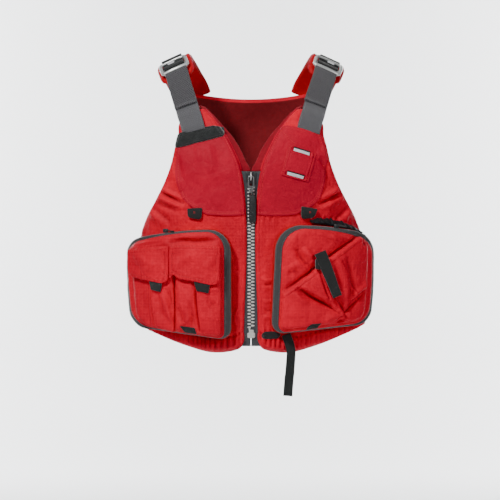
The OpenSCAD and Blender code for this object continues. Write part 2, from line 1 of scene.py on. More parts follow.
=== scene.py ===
"""Looks of a front-zip paddling life jacket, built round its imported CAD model.

Lengths in this script are in millimetres until a mesh is made, which is in metres. The surface that
everything lies on is the torso of the CAD model: a squared-off oval, upright below the bust and the
shoulder blades and leaning inwards above them. A place on it is (s, z): s is the distance round the
oval from the front's middle, positive on the wearer's left, and z is the height.
"""
import math

import bmesh
import bpy
import numpy as np
from mathutils import Matrix


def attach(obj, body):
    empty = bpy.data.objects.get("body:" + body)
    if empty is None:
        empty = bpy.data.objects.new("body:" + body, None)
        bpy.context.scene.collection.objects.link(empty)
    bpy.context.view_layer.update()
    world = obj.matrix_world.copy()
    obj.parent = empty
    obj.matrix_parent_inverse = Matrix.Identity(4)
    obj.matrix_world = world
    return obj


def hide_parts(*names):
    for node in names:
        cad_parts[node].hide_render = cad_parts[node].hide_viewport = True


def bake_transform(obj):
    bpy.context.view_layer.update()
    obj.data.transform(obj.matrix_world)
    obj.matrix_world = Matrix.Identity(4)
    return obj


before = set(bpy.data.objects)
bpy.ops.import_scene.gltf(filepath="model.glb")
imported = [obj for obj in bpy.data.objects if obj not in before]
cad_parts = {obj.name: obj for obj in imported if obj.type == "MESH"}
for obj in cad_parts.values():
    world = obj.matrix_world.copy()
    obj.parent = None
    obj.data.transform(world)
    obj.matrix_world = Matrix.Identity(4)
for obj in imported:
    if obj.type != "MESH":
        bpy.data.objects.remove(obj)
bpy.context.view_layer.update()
RIGHT, LEFT = -1, 1
SIDES = {RIGHT: "right", LEFT: "left"}
MM = 0.001

# ---------------------------------------------------------------- camera
CAMERA = np.array([-1.6, -4140.0, 157.0])
PICTURE_PLANE = -140.0

camera = bpy.data.objects.new("camera", bpy.data.cameras.new("camera"))
bpy.context.scene.collection.objects.link(camera)
camera.location = CAMERA * MM
camera.rotation_euler = (math.pi / 2, 0, 0)
camera.data.sensor_width = 36
camera.data.lens = 180
camera.data.dof.use_dof = False
bpy.context.scene.camera = camera

# ---------------------------------------------------------------- the torso's surface
HALF_WIDTH, POWER = 186.0, 2.5
FRONT_DEPTH, BUST_Z, FRONT_LEAN = 142.0, 270.0, 0.0031
BACK_DEPTH, BLADE_Z, BACK_LEAN = 128.0, 360.0, 0.0035


def ease(t):
    t = np.clip(t, 0, 1)
    return t * t * (3 - 2 * t)


def mix(a, b, t):
    return a + (b - a) * t


def unit(v):
    v = np.asarray(v, float)
    return v / np.maximum(np.linalg.norm(v, axis=-1, keepdims=True), 1e-9)


def torso(phi, z, out=0.0):
    """Points at the angle phi round the torso, in degrees, at the height z and the offset out."""
    phi, z, out = np.broadcast_arrays(np.asarray(phi, float), np.asarray(z, float), np.asarray(out, float))
    s, c = np.sin(np.radians(phi)), np.cos(np.radians(phi))
    front = c >= 0
    lean = np.where(front, FRONT_LEAN, BACK_LEAN)
    over = np.maximum(0, z - np.where(front, BUST_Z, BLADE_Z))
    depth = np.where(front, FRONT_DEPTH, BACK_DEPTH) - lean * over**2
    r = ((abs(s) / HALF_WIDTH) ** POWER + (abs(c) / depth) ** POWER) ** (-1 / POWER)
    x, y = r * s, -r * c
    across = np.sign(x) * abs(x) ** (POWER - 1) / HALF_WIDTH**POWER
    along = np.sign(y) * abs(y) ** (POWER - 1) / depth**POWER
    up = (abs(y) / depth) ** POWER * 2 * lean * over / depth
    return np.stack([x, y, z], -1) + out[..., None] * unit(np.stack([across, along, up], -1))


ROUND_PHI = np.linspace(-360, 360, 5761)
ROUND_S = np.concatenate([[0], np.cumsum(np.linalg.norm(np.diff(torso(ROUND_PHI, 0.0), axis=0), axis=1))])
ROUND_S -= np.interp(0, ROUND_PHI, ROUND_S)


def s_of(phi):
    return np.interp(phi, ROUND_PHI, ROUND_S)


def phi_of(s):
    return np.interp(s, ROUND_S, ROUND_PHI)


def at(s, z, out=0.0):
    return torso(phi_of(s), z, out)


def normal_at(s, z):
    return unit(at(s, z, 1.0) - at(s, z, 0.0))


def sight(x, z, out=0.0):
    """The place (s, z), at the offset out, that the camera sees at (x, z) in the picture plane."""
    x, z, out = np.broadcast_arrays(np.asarray(x, float), np.asarray(z, float), np.asarray(out, float))
    true_x, true_z = x, z
    for _ in range(4):
        low, high = np.zeros(x.shape), np.full(x.shape, 89.5)
        for _ in range(26):
            middle = (low + high) / 2
            short = torso(middle, true_z, out)[..., 0] < abs(true_x)
            low, high = np.where(short, middle, low), np.where(short, high, middle)
        near = (torso(low, true_z, out)[..., 1] - CAMERA[1]) / (PICTURE_PLANE - CAMERA[1])
        true_x = CAMERA[0] + (x - CAMERA[0]) * near
        true_z = CAMERA[2] + (z - CAMERA[2]) * near
    return s_of(low * np.sign(x)), true_z


def seen_path(points, out=0.0, step=2.0):
    """A smooth path of places through points given as (x, z) in the picture plane."""
    points = np.array(points, float)
    s, z = sight(points[:, 0], points[:, 1], out)
    return smooth_path(np.stack([s, z], 1), step)


def smooth_path(points, step=2.0):
    """Points about step apart on the Catmull-Rom curve through the given ones."""
    points = np.array(points, float)
    if len(points) > 2:
        p = np.vstack([2 * points[0] - points[1], points, 2 * points[-1] - points[-2]])
        t = np.linspace(0, 1, 12, endpoint=False)[:, None]
        parts = []
        for a, b, c, d in zip(p[:-3], p[1:-2], p[2:-1], p[3:]):
            parts.append(0.5 * (2 * b + (c - a) * t + (2 * a - 5 * b + 4 * c - d) * t**2
                                + (3 * b - a - 3 * c + d) * t**3))
        points = np.vstack(parts + [points[-1:]])
    run = np.concatenate([[0], np.cumsum(np.linalg.norm(np.diff(points, axis=0), axis=1))])
    count = max(2, int(round(run[-1] / step)) + 1)
    place = np.linspace(0, run[-1], count)
    return np.stack([np.interp(place, run, points[:, k]) for k in range(points.shape[1])], 1)


def smooth_curve(x, xs, ys):
    """A smooth curve through the points (xs, ys), level beyond them."""
    xs, ys = np.asarray(xs, float), np.asarray(ys, float)
    slope = np.gradient(ys, xs)
    i = np.clip(np.searchsorted(xs, x) - 1, 0, len(xs) - 2)
    h = xs[i + 1] - xs[i]
    t = np.clip((x - xs[i]) / h, 0, 1)
    return ((2 * t**3 - 3 * t**2 + 1) * ys[i] + (t**3 - 2 * t**2 + t) * h * slope[i]
            + (3 * t**2 - 2 * t**3) * ys[i + 1] + (t**3 - t**2) * h * slope[i + 1])


# ---------------------------------------------------------------- relief
def noise(s, z, size, seed, octaves=2):
    """Smooth noise, about -1 to 1, whose largest bumps are size wide."""
    table = np.random.RandomState(seed).uniform(-1, 1, (64, 64))
    total, strength = 0.0, 1.0
    for k in range(octaves):
        u, v = s / size * 2**k + 17.3 * k, z / size * 2**k + 5.1 * k
        i, j = np.floor(u).astype(int), np.floor(v).astype(int)
        a, b = ease(u - i), ease(v - j)
        low = mix(table[i % 64, j % 64], table[(i + 1) % 64, j % 64], a)
        high = mix(table[i % 64, (j + 1) % 64], table[(i + 1) % 64, (j + 1) % 64], a)
        total = total + strength * mix(low, high, b)
        strength *= 0.5
    return total


def path_distance(s, z, path, closed=False):
    """Distance to a path of places, which side of it a place is on, and how far along it."""
    shape = np.shape(s)
    q = np.stack([np.ravel(s), np.ravel(z)], 1)
    a = path
    b = np.roll(path, -1, 0) if closed else path[1:]
    a = a if closed else a[:-1]
    run = b - a
    size = np.maximum((run**2).sum(1), 1e-9)
    best, way, along = np.empty(len(q)), np.empty(len(q)), np.empty(len(q))
    for k in range(0, len(q), 4000):
        d = q[k : k + 4000, None, :] - a[None]
        t = np.clip((d * run).sum(2) / size, 0, 1)
        off = d - t[..., None] * run
        far = (off**2).sum(2)
        i = far.argmin(1)
        rows = np.arange(len(i))
        best[k : k + 4000] = np.sqrt(far[rows, i])
        way[k : k + 4000] = np.sign(run[i, 0] * d[rows, i, 1] - run[i, 1] * d[rows, i, 0])
        along[k : k + 4000] = (i + t[rows, i]) / len(a)
    return best.reshape(shape), way.reshape(shape), along.reshape(shape)


def hill(d, width):
    """A smooth hill of height 1 round d = 0."""
    return np.exp(-((d / width) ** 2))


def edge_distance(s, z, loop):
    return path_distance(s, z, loop, closed=True)[0]


def rounded(d, radius, fall):
    """How far an edge with the given radius falls at the distance d from it."""
    t = np.clip(d / radius, 0, 1)
    return -fall * (1 - np.sqrt(np.maximum(0, 1 - (1 - t) ** 2)))


def corner_cut(d, width, radius):
    """How far a rounded corner pulls a side in at the distance d from the corner's end."""
    return width * (1 - np.sqrt(1 - np.clip(1 - d / radius, 0, 1) ** 2))


def fold(s, z, points, width, height, out=0.0):
    """A fold along points seen at (x, z): a ridge, or a valley where height is negative. It dies out
    at its ends."""
    d, _, along = path_distance(s, z, seen_path(points, out, 4.0))
    return height * hill(d, width) * np.sin(np.pi * np.clip(along, 0, 1)) ** 0.6


FOLD_GAIN = 2.1


def folds(s, z, table, out=0.0):
    return FOLD_GAIN * sum(fold(s, z, *row, out) for row in table)


# ---------------------------------------------------------------- meshes
def new_object(name, verts, faces, uv, material):
    """A mesh object from points in millimetres and a uv, in metres, for each point."""
    mesh = bpy.data.meshes.new(name)
    mesh.from_pydata((np.asarray(verts) * MM).tolist(), [], [tuple(int(i) for i in f) for f in faces])
    layer = mesh.uv_layers.new(name="weave")
    corner = np.empty(len(mesh.loops), np.int32)
    mesh.loops.foreach_get("vertex_index", corner)
    layer.data.foreach_set("uv", np.asarray(uv, np.float32)[corner].ravel())
    mesh.polygons.foreach_set("use_smooth", np.ones(len(mesh.polygons), bool))
    mesh.validate()
    shape = bmesh.new()
    shape.from_mesh(mesh)
    bmesh.ops.remove_doubles(shape, verts=shape.verts, dist=2e-6)
    bmesh.ops.recalc_face_normals(shape, faces=shape.faces)
    shape.to_mesh(mesh)
    shape.free()
    mesh.update()
    obj = bpy.data.objects.new(name, mesh)
    bpy.context.scene.collection.objects.link(obj)
    mesh.materials.append(material)
    return obj


def quads(rows, cols, start=0, wrap=False):
    """The faces of a grid of points, whose rows may join up round a tube."""
    i, j = np.meshgrid(np.arange(rows - 1), np.arange(cols if wrap else cols - 1), indexing="ij")
    k = (j + 1) % cols
    corners = [i * cols + j, i * cols + k, (i + 1) * cols + k, (i + 1) * cols + j]
    return (start + np.stack(corners, -1)).reshape(-1, 4)


def border(rows, cols):
    """The indexes of a grid's border points, in order round it."""
    return np.concatenate([np.arange(cols - 1), np.arange(rows - 1) * cols + cols - 1,
                           (rows - 1) * cols + np.arange(cols - 1, 0, -1),
                           np.arange(rows - 1, 0, -1) * cols])


def loop_of(s, z):
    """The closed path round a grid of places."""
    edge = border(*s.shape)
    return np.stack([s.ravel()[edge], z.ravel()[edge]], 1)


def slab(name, s, z, outer, inner, material, walls=1, bulge=0.0):
    """A closed sheet or pad over a grid of places, from the offsets inner to the offsets outer."""
    rows, cols = s.shape
    top, low = at(s, z, outer).reshape(-1, 3), at(s, z, inner).reshape(-1, 3)
    edge = border(rows, cols)
    place = np.stack([s, z], -1).reshape(-1, 2)
    area = np.sum(place[edge][:, 0] * np.roll(place[edge][:, 1], -1)
                  - np.roll(place[edge][:, 0], -1) * place[edge][:, 1])
    verts, uv = [top, low], [place, place]
    outwards = unit(np.roll(top[edge], -1, 0) - np.roll(top[edge], 1, 0))
    outwards = np.cross(outwards, normal_at(place[edge, 0], place[edge, 1])) * np.sign(area)
    rings = [edge]
    start = 2 * len(top)
    for k in range(1, walls):
        t = k / walls
        verts.append(mix(top[edge], low[edge], t) + outwards * bulge * math.sin(math.pi * t))
        uv.append(place[edge])
        rings.append(start + np.arange(len(edge)))
        start += len(edge)
    rings.append(len(top) + edge)
    faces = [quads(rows, cols), quads(rows, cols, len(top))[:, ::-1]]
    for a, b in zip(rings[:-1], rings[1:]):
        faces.append(np.stack([a, b, np.roll(b, -1), np.roll(a, -1)], -1))
    return new_object(name, np.vstack(verts), np.vstack(faces), np.vstack(uv) * MM, material)


def sweep_part(centres, across, outwards, profile):
    """A closed strip or tube for merge(). profile(t) gives its section as points (across, outwards)."""
    centres = np.asarray(centres, float)
    n = len(centres)
    run = np.concatenate([[0], np.cumsum(np.linalg.norm(np.diff(centres, axis=0), axis=1))])
    rings, uv = [], []
    for k in range(n):
        section = np.asarray(profile(k / (n - 1)), float)
        rings.append(centres[k] + section[:, :1] * across[k] + section[:, 1:] * outwards[k])
        uv.append(np.stack([section[:, 0], np.full(len(section), run[k])], 1))
    m = len(rings[0])
    verts, uv = np.vstack(rings), np.vstack(uv)
    faces = [tuple(f) for f in quads(n, m, 0, wrap=True)]
    ends = [verts[:m].mean(0), verts[-m:].mean(0)]
    verts = np.vstack([verts] + [e[None] for e in ends])
    uv = np.vstack([uv, [[0, run[0]]], [[0, run[-1]]]])
    first, last = n * m, n * m + 1
    for i in range(m):
        j = (i + 1) % m
        faces.append((first, j, i))
        faces.append((last, (n - 1) * m + i, (n - 1) * m + j))
    return verts, faces, uv * MM


def sweep(name, centres, across, outwards, profile, material):
    return new_object(name, *sweep_part(centres, across, outwards, profile), material)


def tube_part(points, radius, hint, flat=1.0):
    """A round wire for merge() through points."""
    points = smooth_path(points, 1.0)
    across, out = frames_along(points, hint)
    return sweep_part(points, across, out, lambda t: round_section(radius, 12, flat))


def closed_tube(points, across, out, section):
    """The points and faces of a tube that closes on itself."""
    verts = np.concatenate([(points + across * a + out * b)[:, None] for a, b in section], 1).reshape(-1, 3)
    n, m = len(points), len(section)
    closing = quads(2, m, 0, wrap=True)
    closing = np.where(closing >= m, closing - m, closing + (n - 1) * m)
    return verts, np.vstack([quads(n, m, 0, wrap=True), closing])


def frames_along(points, side_hint):
    """Unit vectors across and outwards along a path, from a hint of the direction across."""
    run = unit(np.gradient(points, axis=0))
    hint = np.broadcast_to(np.asarray(side_hint, float), points.shape)
    across = unit(hint - (hint * run).sum(-1, keepdims=True) * run)
    return across, np.cross(across, run)


def strip_section(width, thickness, crown=0.0, points=14):
    """The section of a flat strip with round edges, its inner face at 0."""
    half, r = width / 2, thickness / 2
    x = np.linspace(-half + r, half - r, points)
    rise = crown * (1 - (x / half) ** 2)
    turn = np.linspace(-math.pi / 2, math.pi / 2, 5)[1:-1]
    low = np.stack([x, rise], 1)
    high = np.stack([x[::-1], thickness + rise[::-1]], 1)
    end = np.stack([half - r + r * np.cos(turn), r + r * np.sin(turn)], 1)
    start = np.stack([-half + r - r * np.cos(turn), r - r * np.sin(turn)], 1)
    return np.vstack([low, end, high, start])


def round_section(radius, points=12, flat=1.0):
    a = np.linspace(0, 2 * math.pi, points, endpoint=False)
    return np.stack([radius * np.cos(a), radius * flat * np.sin(a)], 1)


def merge(name, parts, material):
    """One object from parts that are (points, faces, uv)."""
    verts, faces, uv, start = [], [], [], 0
    for v, f, t in parts:
        verts.append(v)
        uv.append(t)
        faces += [tuple(int(start + i) for i in face) for face in f]
        start += len(v)
    return new_object(name, np.vstack(verts), faces, np.vstack(uv), material)


def soft_box(size, radius, steps=3):
    """A box with rounded edges, round the origin: points and faces."""
    size, radius = np.asarray(size, float) / 2, min(radius, min(size) / 2 * 0.98)
    a = np.linspace(-math.pi / 4, math.pi / 4, 2 * steps + 1)
    line = np.tan(a)
    verts, faces = [], []
    for axis in range(3):
        for way in (-1, 1):
            u, v = np.meshgrid(line, line, indexing="ij")
            p = np.stack([u, v, np.ones_like(u)], -1)
            p = p[..., [[2, 0, 1], [1, 2, 0], [0, 1, 2]][axis]]
            p = p * (1 if way > 0 else -1)
            q = unit(p)
            core = np.sign(p) * (abs(p) > 1e-9) * np.clip(abs(p) * 3, 0, 1) * (size - radius)
            start = sum(len(x) for x in verts)
            verts.append((core + q * radius).reshape(-1, 3))
            f = quads(len(line), len(line), start)
            faces.append(f)
    verts, faces = np.vstack(verts), np.vstack(faces)
    centre = verts[faces].mean(1)
    normal = np.cross(verts[faces[:, 1]] - verts[faces[:, 0]], verts[faces[:, 2]] - verts[faces[:, 0]])
    wrong = (normal * centre).sum(1) < 0
    faces[wrong] = faces[wrong][:, ::-1]
    return verts, faces


def box_part(centre, size, radius, axes=np.eye(3), steps=3):
    """A rounded box for merge(), turned so that its own axes are the rows of axes."""
    v, f = soft_box(size, radius, steps)
    return v @ np.asarray(axes, float) + np.asarray(centre, float), f, v[:, [0, 2]] * MM


def bar_part(a, b, width, depth, out_hint, radius=None):
    """A rounded bar between two points."""
    a, b = np.asarray(a, float), np.asarray(b, float)
    run = unit(b - a)
    out = unit(np.asarray(out_hint, float) - np.dot(out_hint, run) * run)
    side = np.cross(run, out)
    size = (width, np.linalg.norm(b - a), depth)
    return box_part((a + b) / 2, size, radius or min(width, depth) * 0.45, [side, run, out])


# ---------------------------------------------------------------- stitches
THREADS = {}


def stitch(body, colour, points, normals, length=2.6, gap=1.5, radius=0.34, lift=0.15):
    """A row of stitches along points, kept until the body's thread is made in one piece."""
    points, normals = np.asarray(points, float), np.asarray(normals, float)
    run = np.concatenate([[0], np.cumsum(np.linalg.norm(np.diff(points, axis=0), axis=1))])
    count = int(run[-1] / (length + gap))
    if count < 1:
        return
    middle = (np.arange(count) + 0.5) * run[-1] / count

    def spot(place, table):
        return np.stack([np.interp(place, run, table[:, k]) for k in range(3)], 1)

    along = np.array([-0.5, -0.42, -0.2, 0.2, 0.42, 0.5])
    size = np.array([0.35, 0.85, 1.0, 1.0, 0.85, 0.35]) * radius
    sink = np.array([-0.35, -0.05, 0.1, 0.1, -0.05, -0.35])
    turn = np.linspace(0, 2 * math.pi, 6, endpoint=False)
    rings = []
    for a, r, h in zip(along, size, sink):
        centre = spot(middle + a * length, points)
        normal = unit(spot(middle, normals))
        forward = unit(spot(np.minimum(middle + 0.6, run[-1]), points)
                       - spot(np.maximum(middle - 0.6, 0), points))
        side = np.cross(forward, normal)
        base = centre + normal * (lift + h)
        ring = base[:, None] + r * (np.cos(turn)[None, :, None] * side[:, None]
                                    + np.sin(turn)[None, :, None] * normal[:, None])
        rings.append(ring)
    verts = np.stack(rings, 1).reshape(-1, 3)
    one = np.vstack([quads(6, 6, 0, wrap=True)[:, ::-1],
                     [[0, 1, 2, 3], [3, 4, 5, 0], [33, 32, 31, 30], [30, 35, 34, 33]]])
    faces = (one[None] + 36 * np.arange(count)[:, None, None]).reshape(-1, 4)
    THREADS.setdefault((body, colour), []).append((verts, faces, np.zeros((len(verts), 2))))


def stitch_path(body, colour, path, height, **more):
    """Stitches along a path of places, on the surface whose offset is height(s, z)."""
    s, z = path[:, 0], path[:, 1]
    stitch(body, colour, at(s, z, height(s, z)), normal_at(s, z), **more)


def inset(loop, distance):
    """A closed path of places moved to its left by the distance, looking along it."""
    run = unit(np.roll(loop, -1, 0) - np.roll(loop, 1, 0))
    return loop + np.reshape(distance, (-1, 1)) * np.stack([-run[:, 1], run[:, 0]], 1)


# ---------------------------------------------------------------- materials
class Material:
    """A node material, with its texture place in metres."""

    def __init__(self, name):
        self.material = bpy.data.materials.new(name)
        self.material.use_nodes = True
        self.tree = self.material.node_tree
        self.shader = self.tree.nodes["Principled BSDF"]
        self.uv = self.node("ShaderNodeUVMap", uv_map="weave").outputs["UV"]
        self.object = self.node("ShaderNodeTexCoord").outputs["Object"]

    def node(self, kind, inputs=None, **settings):
        node = self.tree.nodes.new(kind)
        for key, value in settings.items():
            setattr(node, key, value)
        for key, value in (inputs or {}).items():
            self.put(node.inputs[key], value)
        return node

    def put(self, socket, value):
        if isinstance(value, bpy.types.NodeSocket):
            self.tree.links.new(value, socket)
        else:
            socket.default_value = value

    def math(self, operation, a, b=0.0, c=0.0):
        return self.node("ShaderNodeMath", {0: a, 1: b, 2: c}, operation=operation).outputs[0]

    def noise(self, scale, detail=3.0, place=None, rough=0.55):
        inputs = {"Scale": scale, "Detail": detail, "Roughness": rough, "Vector": place or self.object}
        return self.node("ShaderNodeTexNoise", inputs).outputs["Fac"]

    def blend(self, fac, a, b):
        node = self.node("ShaderNodeMix", {0: fac}, data_type="RGBA")
        self.put(node.inputs[6], a)
        self.put(node.inputs[7], b)
        return node.outputs[2]

    def ramp(self, fac, low, high):
        return self.node("ShaderNodeMapRange",
                         {"Value": fac, "From Min": low, "From Max": high}).outputs["Result"]

    def parts(self):
        node = self.node("ShaderNodeSeparateXYZ", {0: self.uv})
        return node.outputs[0], node.outputs[1]

    def bump(self, height, distance=MM, strength=1.0):
        """height is in millimetres when distance is one millimetre."""
        node = self.node("ShaderNodeBump", {"Height": height, "Distance": distance, "Strength": strength})
        self.put(self.shader.inputs["Normal"], node.outputs["Normal"])

    def set(self, **values):
        for key, value in values.items():
            self.put(self.shader.inputs[key.replace("_", " ")], value)
        return self


def linear(r, g, b):
    """A shader colour from the usual 0 to 255 values."""
    def one(c):
        c /= 255
        return c / 12.92 if c <= 0.04045 else ((c + 0.055) / 1.055) ** 2.4
    return (one(r), one(g), one(b), 1.0)


def scaled(colour, k):
    return (colour[0] * k, colour[1] * k, colour[2] * k, 1.0)


THREAD_PITCH, RIPSTOP_DEPTH = 0.9, 0.10


def cloth(name, colour, grid=5.2, crinkle=0.30, rough=0.62, sheen=0.03, tint=None):
    """Woven nylon. grid is the spacing of the heavier ripstop threads, or 0 for a plain weave."""
    m = Material(name)
    u, v = m.parts()
    wave_u = m.math("SINE", m.math("MULTIPLY", u, 2 * math.pi / (THREAD_PITCH * MM)))
    wave_v = m.math("SINE", m.math("MULTIPLY", v, 2 * math.pi / (THREAD_PITCH * MM)))
    height = m.math("MULTIPLY", m.math("MULTIPLY", wave_u, wave_v), 0.035)
    lines = None
    if grid:
        for axis in (u, v):
            step = m.math("FRACT", m.math("DIVIDE", axis, grid * MM))
            line = m.ramp(m.math("ABSOLUTE", m.math("SUBTRACT", step, 0.5)), 0.40, 0.47)
            lines = line if lines is None else m.math("MAXIMUM", lines, line)
        height = m.math("ADD", height, m.math("MULTIPLY", lines, RIPSTOP_DEPTH))
    fine = m.noise(170, 4.0)
    broad = m.noise(38, 3.0)
    creases = m.math("ABSOLUTE", m.math("SUBTRACT", m.noise(46, 2.0), 0.5))
    height = m.math("ADD", height, m.math("MULTIPLY", fine, crinkle))
    height = m.math("ADD", height, m.math("MULTIPLY", broad, crinkle * 4.0))
    height = m.math("ADD", height, m.math("MULTIPLY", m.math("MINIMUM", creases, 0.12), crinkle * 11.0))
    m.bump(height)
    shade = m.blend(m.ramp(m.noise(14, 2.0), 0.3, 0.7), scaled(colour, 0.85), tint or scaled(colour, 1.08))
    shade = m.blend(m.math("MULTIPLY", m.ramp(fine, 0.35, 0.65), 0.25), shade, scaled(colour, 0.62))
    if grid:
        shade = m.blend(m.math("MULTIPLY", lines, 0.22), shade, scaled(colour, 1.4))
    bend = m.node("ShaderNodeNewGeometry").outputs["Pointiness"]
    # painted highlight: convex edges, found by the mesh's pointiness, are painted lighter
    shade = m.blend(m.math("MULTIPLY", m.ramp(bend, 0.515, 0.58), 0.20), shade, scaled(colour, 1.4))
    # painted shade: hollows and creases are painted darker
    shade = m.blend(m.math("MULTIPLY", m.ramp(bend, 0.490, 0.42), 0.85), shade, scaled(colour, 0.28))
    roughness = m.math("ADD", rough, m.math("MULTIPLY", m.math("SUBTRACT", fine, 0.5), 0.25))
    m.set(Base_Color=shade, Roughness=roughness, Sheen_Weight=sheen, Sheen_Roughness=0.4,
          Specular_IOR_Level=0.15)
    m.put(m.shader.inputs["Sheen Tint"], (1.0, 0.45, 0.4, 1.0))
    return m.material


def webbing(name, colour, twill=2.6, depth=0.22, contrast=0.35, slant=1.0):
    """Woven tape: slanting twill ribs over cross threads."""
    m = Material(name)
    u, v = m.parts()
    along = m.math("ADD", m.math("MULTIPLY", u, slant), v)
    rib = m.math("SINE", m.math("MULTIPLY", along, 2 * math.pi / (twill * MM)))
    cross = m.math("SINE", m.math("MULTIPLY", m.math("SUBTRACT", u, v), 2 * math.pi / (0.8 * MM)))
    fine = m.noise(900, 2.0)
    height = m.math("ADD", m.math("MULTIPLY", rib, depth), m.math("MULTIPLY", cross, depth * 0.3))
    height = m.math("ADD", height, m.math("MULTIPLY", fine, 0.15))
    m.bump(height)
    light = m.math("ADD", m.math("MULTIPLY", rib, 0.5), m.math("MULTIPLY", fine, 0.9))
    shade = m.blend(m.ramp(light, -0.2, 1.0), scaled(colour, 1 - contrast), scaled(colour, 1 + contrast))
    shade = m.blend(m.math("MULTIPLY", m.ramp(m.noise(60, 2.0), 0.35, 0.7), 0.25), shade,
                    scaled(colour, 1.35))
    m.set(Base_Color=shade, Roughness=0.8, Sheen_Weight=0.3, Specular_IOR_Level=0.25)
    return m.material


def hard(name, colour, rough=0.45, metallic=0.0, grain=0.05, edge_highlight_colour=None):
    """Moulded plastic or cast metal, with a fine grain and convex edges painted lighter as a painted
    highlight.
    """
    m = Material(name)
    fine = m.noise(700, 3.0)
    broad = m.noise(90, 2.0)
    m.bump(m.math("ADD", m.math("MULTIPLY", fine, grain), m.math("MULTIPLY", broad, grain)))
    shade = m.blend(m.ramp(broad, 0.3, 0.7), scaled(colour, 0.88), scaled(colour, 1.1))
    # painted highlight: convex edges, found by the mesh's pointiness, are painted lighter
    edge_highlight = m.ramp(m.node("ShaderNodeNewGeometry").outputs["Pointiness"], 0.53, 0.62)
    shade = m.blend(m.math("MULTIPLY", edge_highlight, 0.5), shade, edge_highlight_colour or scaled(colour, 1.5))
    roughness = m.math("ADD", rough, m.math("MULTIPLY", m.math("SUBTRACT", fine, 0.5), 0.2))
    m.set(Base_Color=shade, Roughness=roughness, Metallic=metallic)
    return m.material


def fuzzy(name, colour):
    """The loop side of a hook-and-loop strip."""
    m = Material(name)
    loops = m.node("ShaderNodeTexVoronoi", {"Scale": 900.0, "Vector": m.object}).outputs["Distance"]
    broad = m.noise(120, 3.0)
    m.bump(m.math("ADD", m.math("MULTIPLY", loops, 0.5), m.math("MULTIPLY", broad, 0.4)))
    shade = m.blend(m.ramp(broad, 0.3, 0.75), scaled(colour, 0.8), scaled(colour, 1.5))
    m.set(Base_Color=shade, Roughness=0.95, Sheen_Weight=0.6, Sheen_Roughness=0.5, Specular_IOR_Level=0.15)
    return m.material


def open_mesh(name, colour):
    """Knitted mesh with staggered round holes, painted near black as painted shade inside them."""
    m = Material(name)
    holes = m.node("ShaderNodeTexVoronoi", {"Scale": 330.0, "Vector": m.uv,
                                            "Randomness": 0.15}).outputs["Distance"]
    open_ = m.ramp(holes, 0.32, 0.20)
    m.bump(m.math("ADD", m.math("MULTIPLY", open_, -0.6), m.math("MULTIPLY", m.noise(500, 2.0), 0.15)))
    # painted shade: the holes are painted near black for the dark seen through them
    m.set(Base_Color=m.blend(open_, colour, scaled(colour, 0.2)), Roughness=0.85, Sheen_Weight=0.3)
    return m.material


RED = linear(212, 0, 40)
MAT = {
    "cover": cloth("cover_red", RED, crinkle=0.46, tint=linear(232, 0, 44)),
    "cover_plain": cloth("cover_red_plain", linear(188, 0, 18), grid=0, crinkle=0.26),
    "yoke": cloth("yoke_red", linear(186, 0, 42), grid=0, crinkle=0.28, rough=0.6),
    "facing": cloth("facing_rose", linear(146, 18, 36), grid=0, crinkle=0.2, rough=0.85, sheen=0.2),
    "liner": cloth("liner_red", linear(120, 20, 28), grid=0, crinkle=0.25, rough=0.75),
    "grey_web": webbing("webbing_grey", linear(84, 84, 88), contrast=0.5),
    "grey_web_dark": webbing("webbing_grey_dark", linear(66, 65, 70), twill=3.4, depth=0.45, contrast=0.75),
    "black_web": webbing("webbing_black", linear(24, 27, 27), twill=1.6, depth=0.12, contrast=0.25),
    "zip_tape": webbing("zip_tape", linear(62, 66, 70), twill=1.2, depth=0.08, contrast=0.2, slant=0.0),
    "fuzzy": fuzzy("loop_black", linear(24, 27, 27)),
    "tab": webbing("tab_black", linear(25, 28, 28), twill=1.4, depth=0.08, contrast=0.15),
    "band": webbing("zip_band", linear(56, 58, 60), twill=1.6, depth=0.12, contrast=0.3, slant=0.4),
    "mesh": open_mesh("mesh_black", linear(44, 46, 48)),
    "lining_black": cloth("lining_black", linear(26, 27, 30), grid=0, crinkle=0.35),
    "silver": hard("silver_resin", linear(205, 206, 202), rough=0.38, metallic=0.15, grain=0.06),
    # the last colour given to buckle, metal and dark_metal is their painted edge highlight
    "buckle": hard("buckle_silver", linear(196, 199, 198), rough=0.32, metallic=0.55, grain=0.04,
                   edge_highlight_colour=linear(235, 236, 234)),
    "metal": hard("slider_metal", linear(120, 121, 122), rough=0.35, metallic=0.8, grain=0.03,
                  edge_highlight_colour=linear(205, 205, 202)),
    "dark_metal": hard("slider_dark", linear(58, 60, 62), rough=0.4, metallic=0.5, grain=0.03,
                       edge_highlight_colour=linear(150, 150, 150)),
    "black": hard("trim_black", linear(28, 30, 31), rough=0.5, grain=0.06),
    "reflect": hard("reflective_grey", linear(214, 216, 220), rough=0.35, metallic=0.1, grain=0.1),
    "thread_red": hard("thread_red", linear(196, 26, 34), rough=0.6, grain=0.1),
    "thread_dark": hard("thread_dark", linear(150, 16, 26), rough=0.6, grain=0.1),
    "thread_black": hard("thread_black", linear(40, 42, 44), rough=0.7, grain=0.1),
    "thread_grey": hard("thread_grey", linear(120, 120, 124), rough=0.7, grain=0.1),
}


def place(obj, body, slot, *nodes, fill=None):
    """Puts a finished piece on its body, if it has just one, and hides the model's parts that it stands
    for. Its slot is not used.
    """
    if body:
        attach(obj, body)
    if nodes:
        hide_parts(*nodes)
    return obj


# ---------------------------------------------------------------- waist strap
WAIST_ROUTE = [
    (56, -142, 22), (58.5, -142.3, 15), (61, -142.6, 8), (63, -142.6, 1), (64, -142.2, -6),
    (64, -141.4, -13), (63.5, -140.5, -20), (63, -139.5, -27), (62.5, -138.5, -34), (62, -137.5, -41),
    (61, -136.6, -48), (60.5, -135.8, -55), (60, -135, -62), (59.5, -134.4, -69), (59, -134, -77),
]
WAIST_WIDTH = 15.0


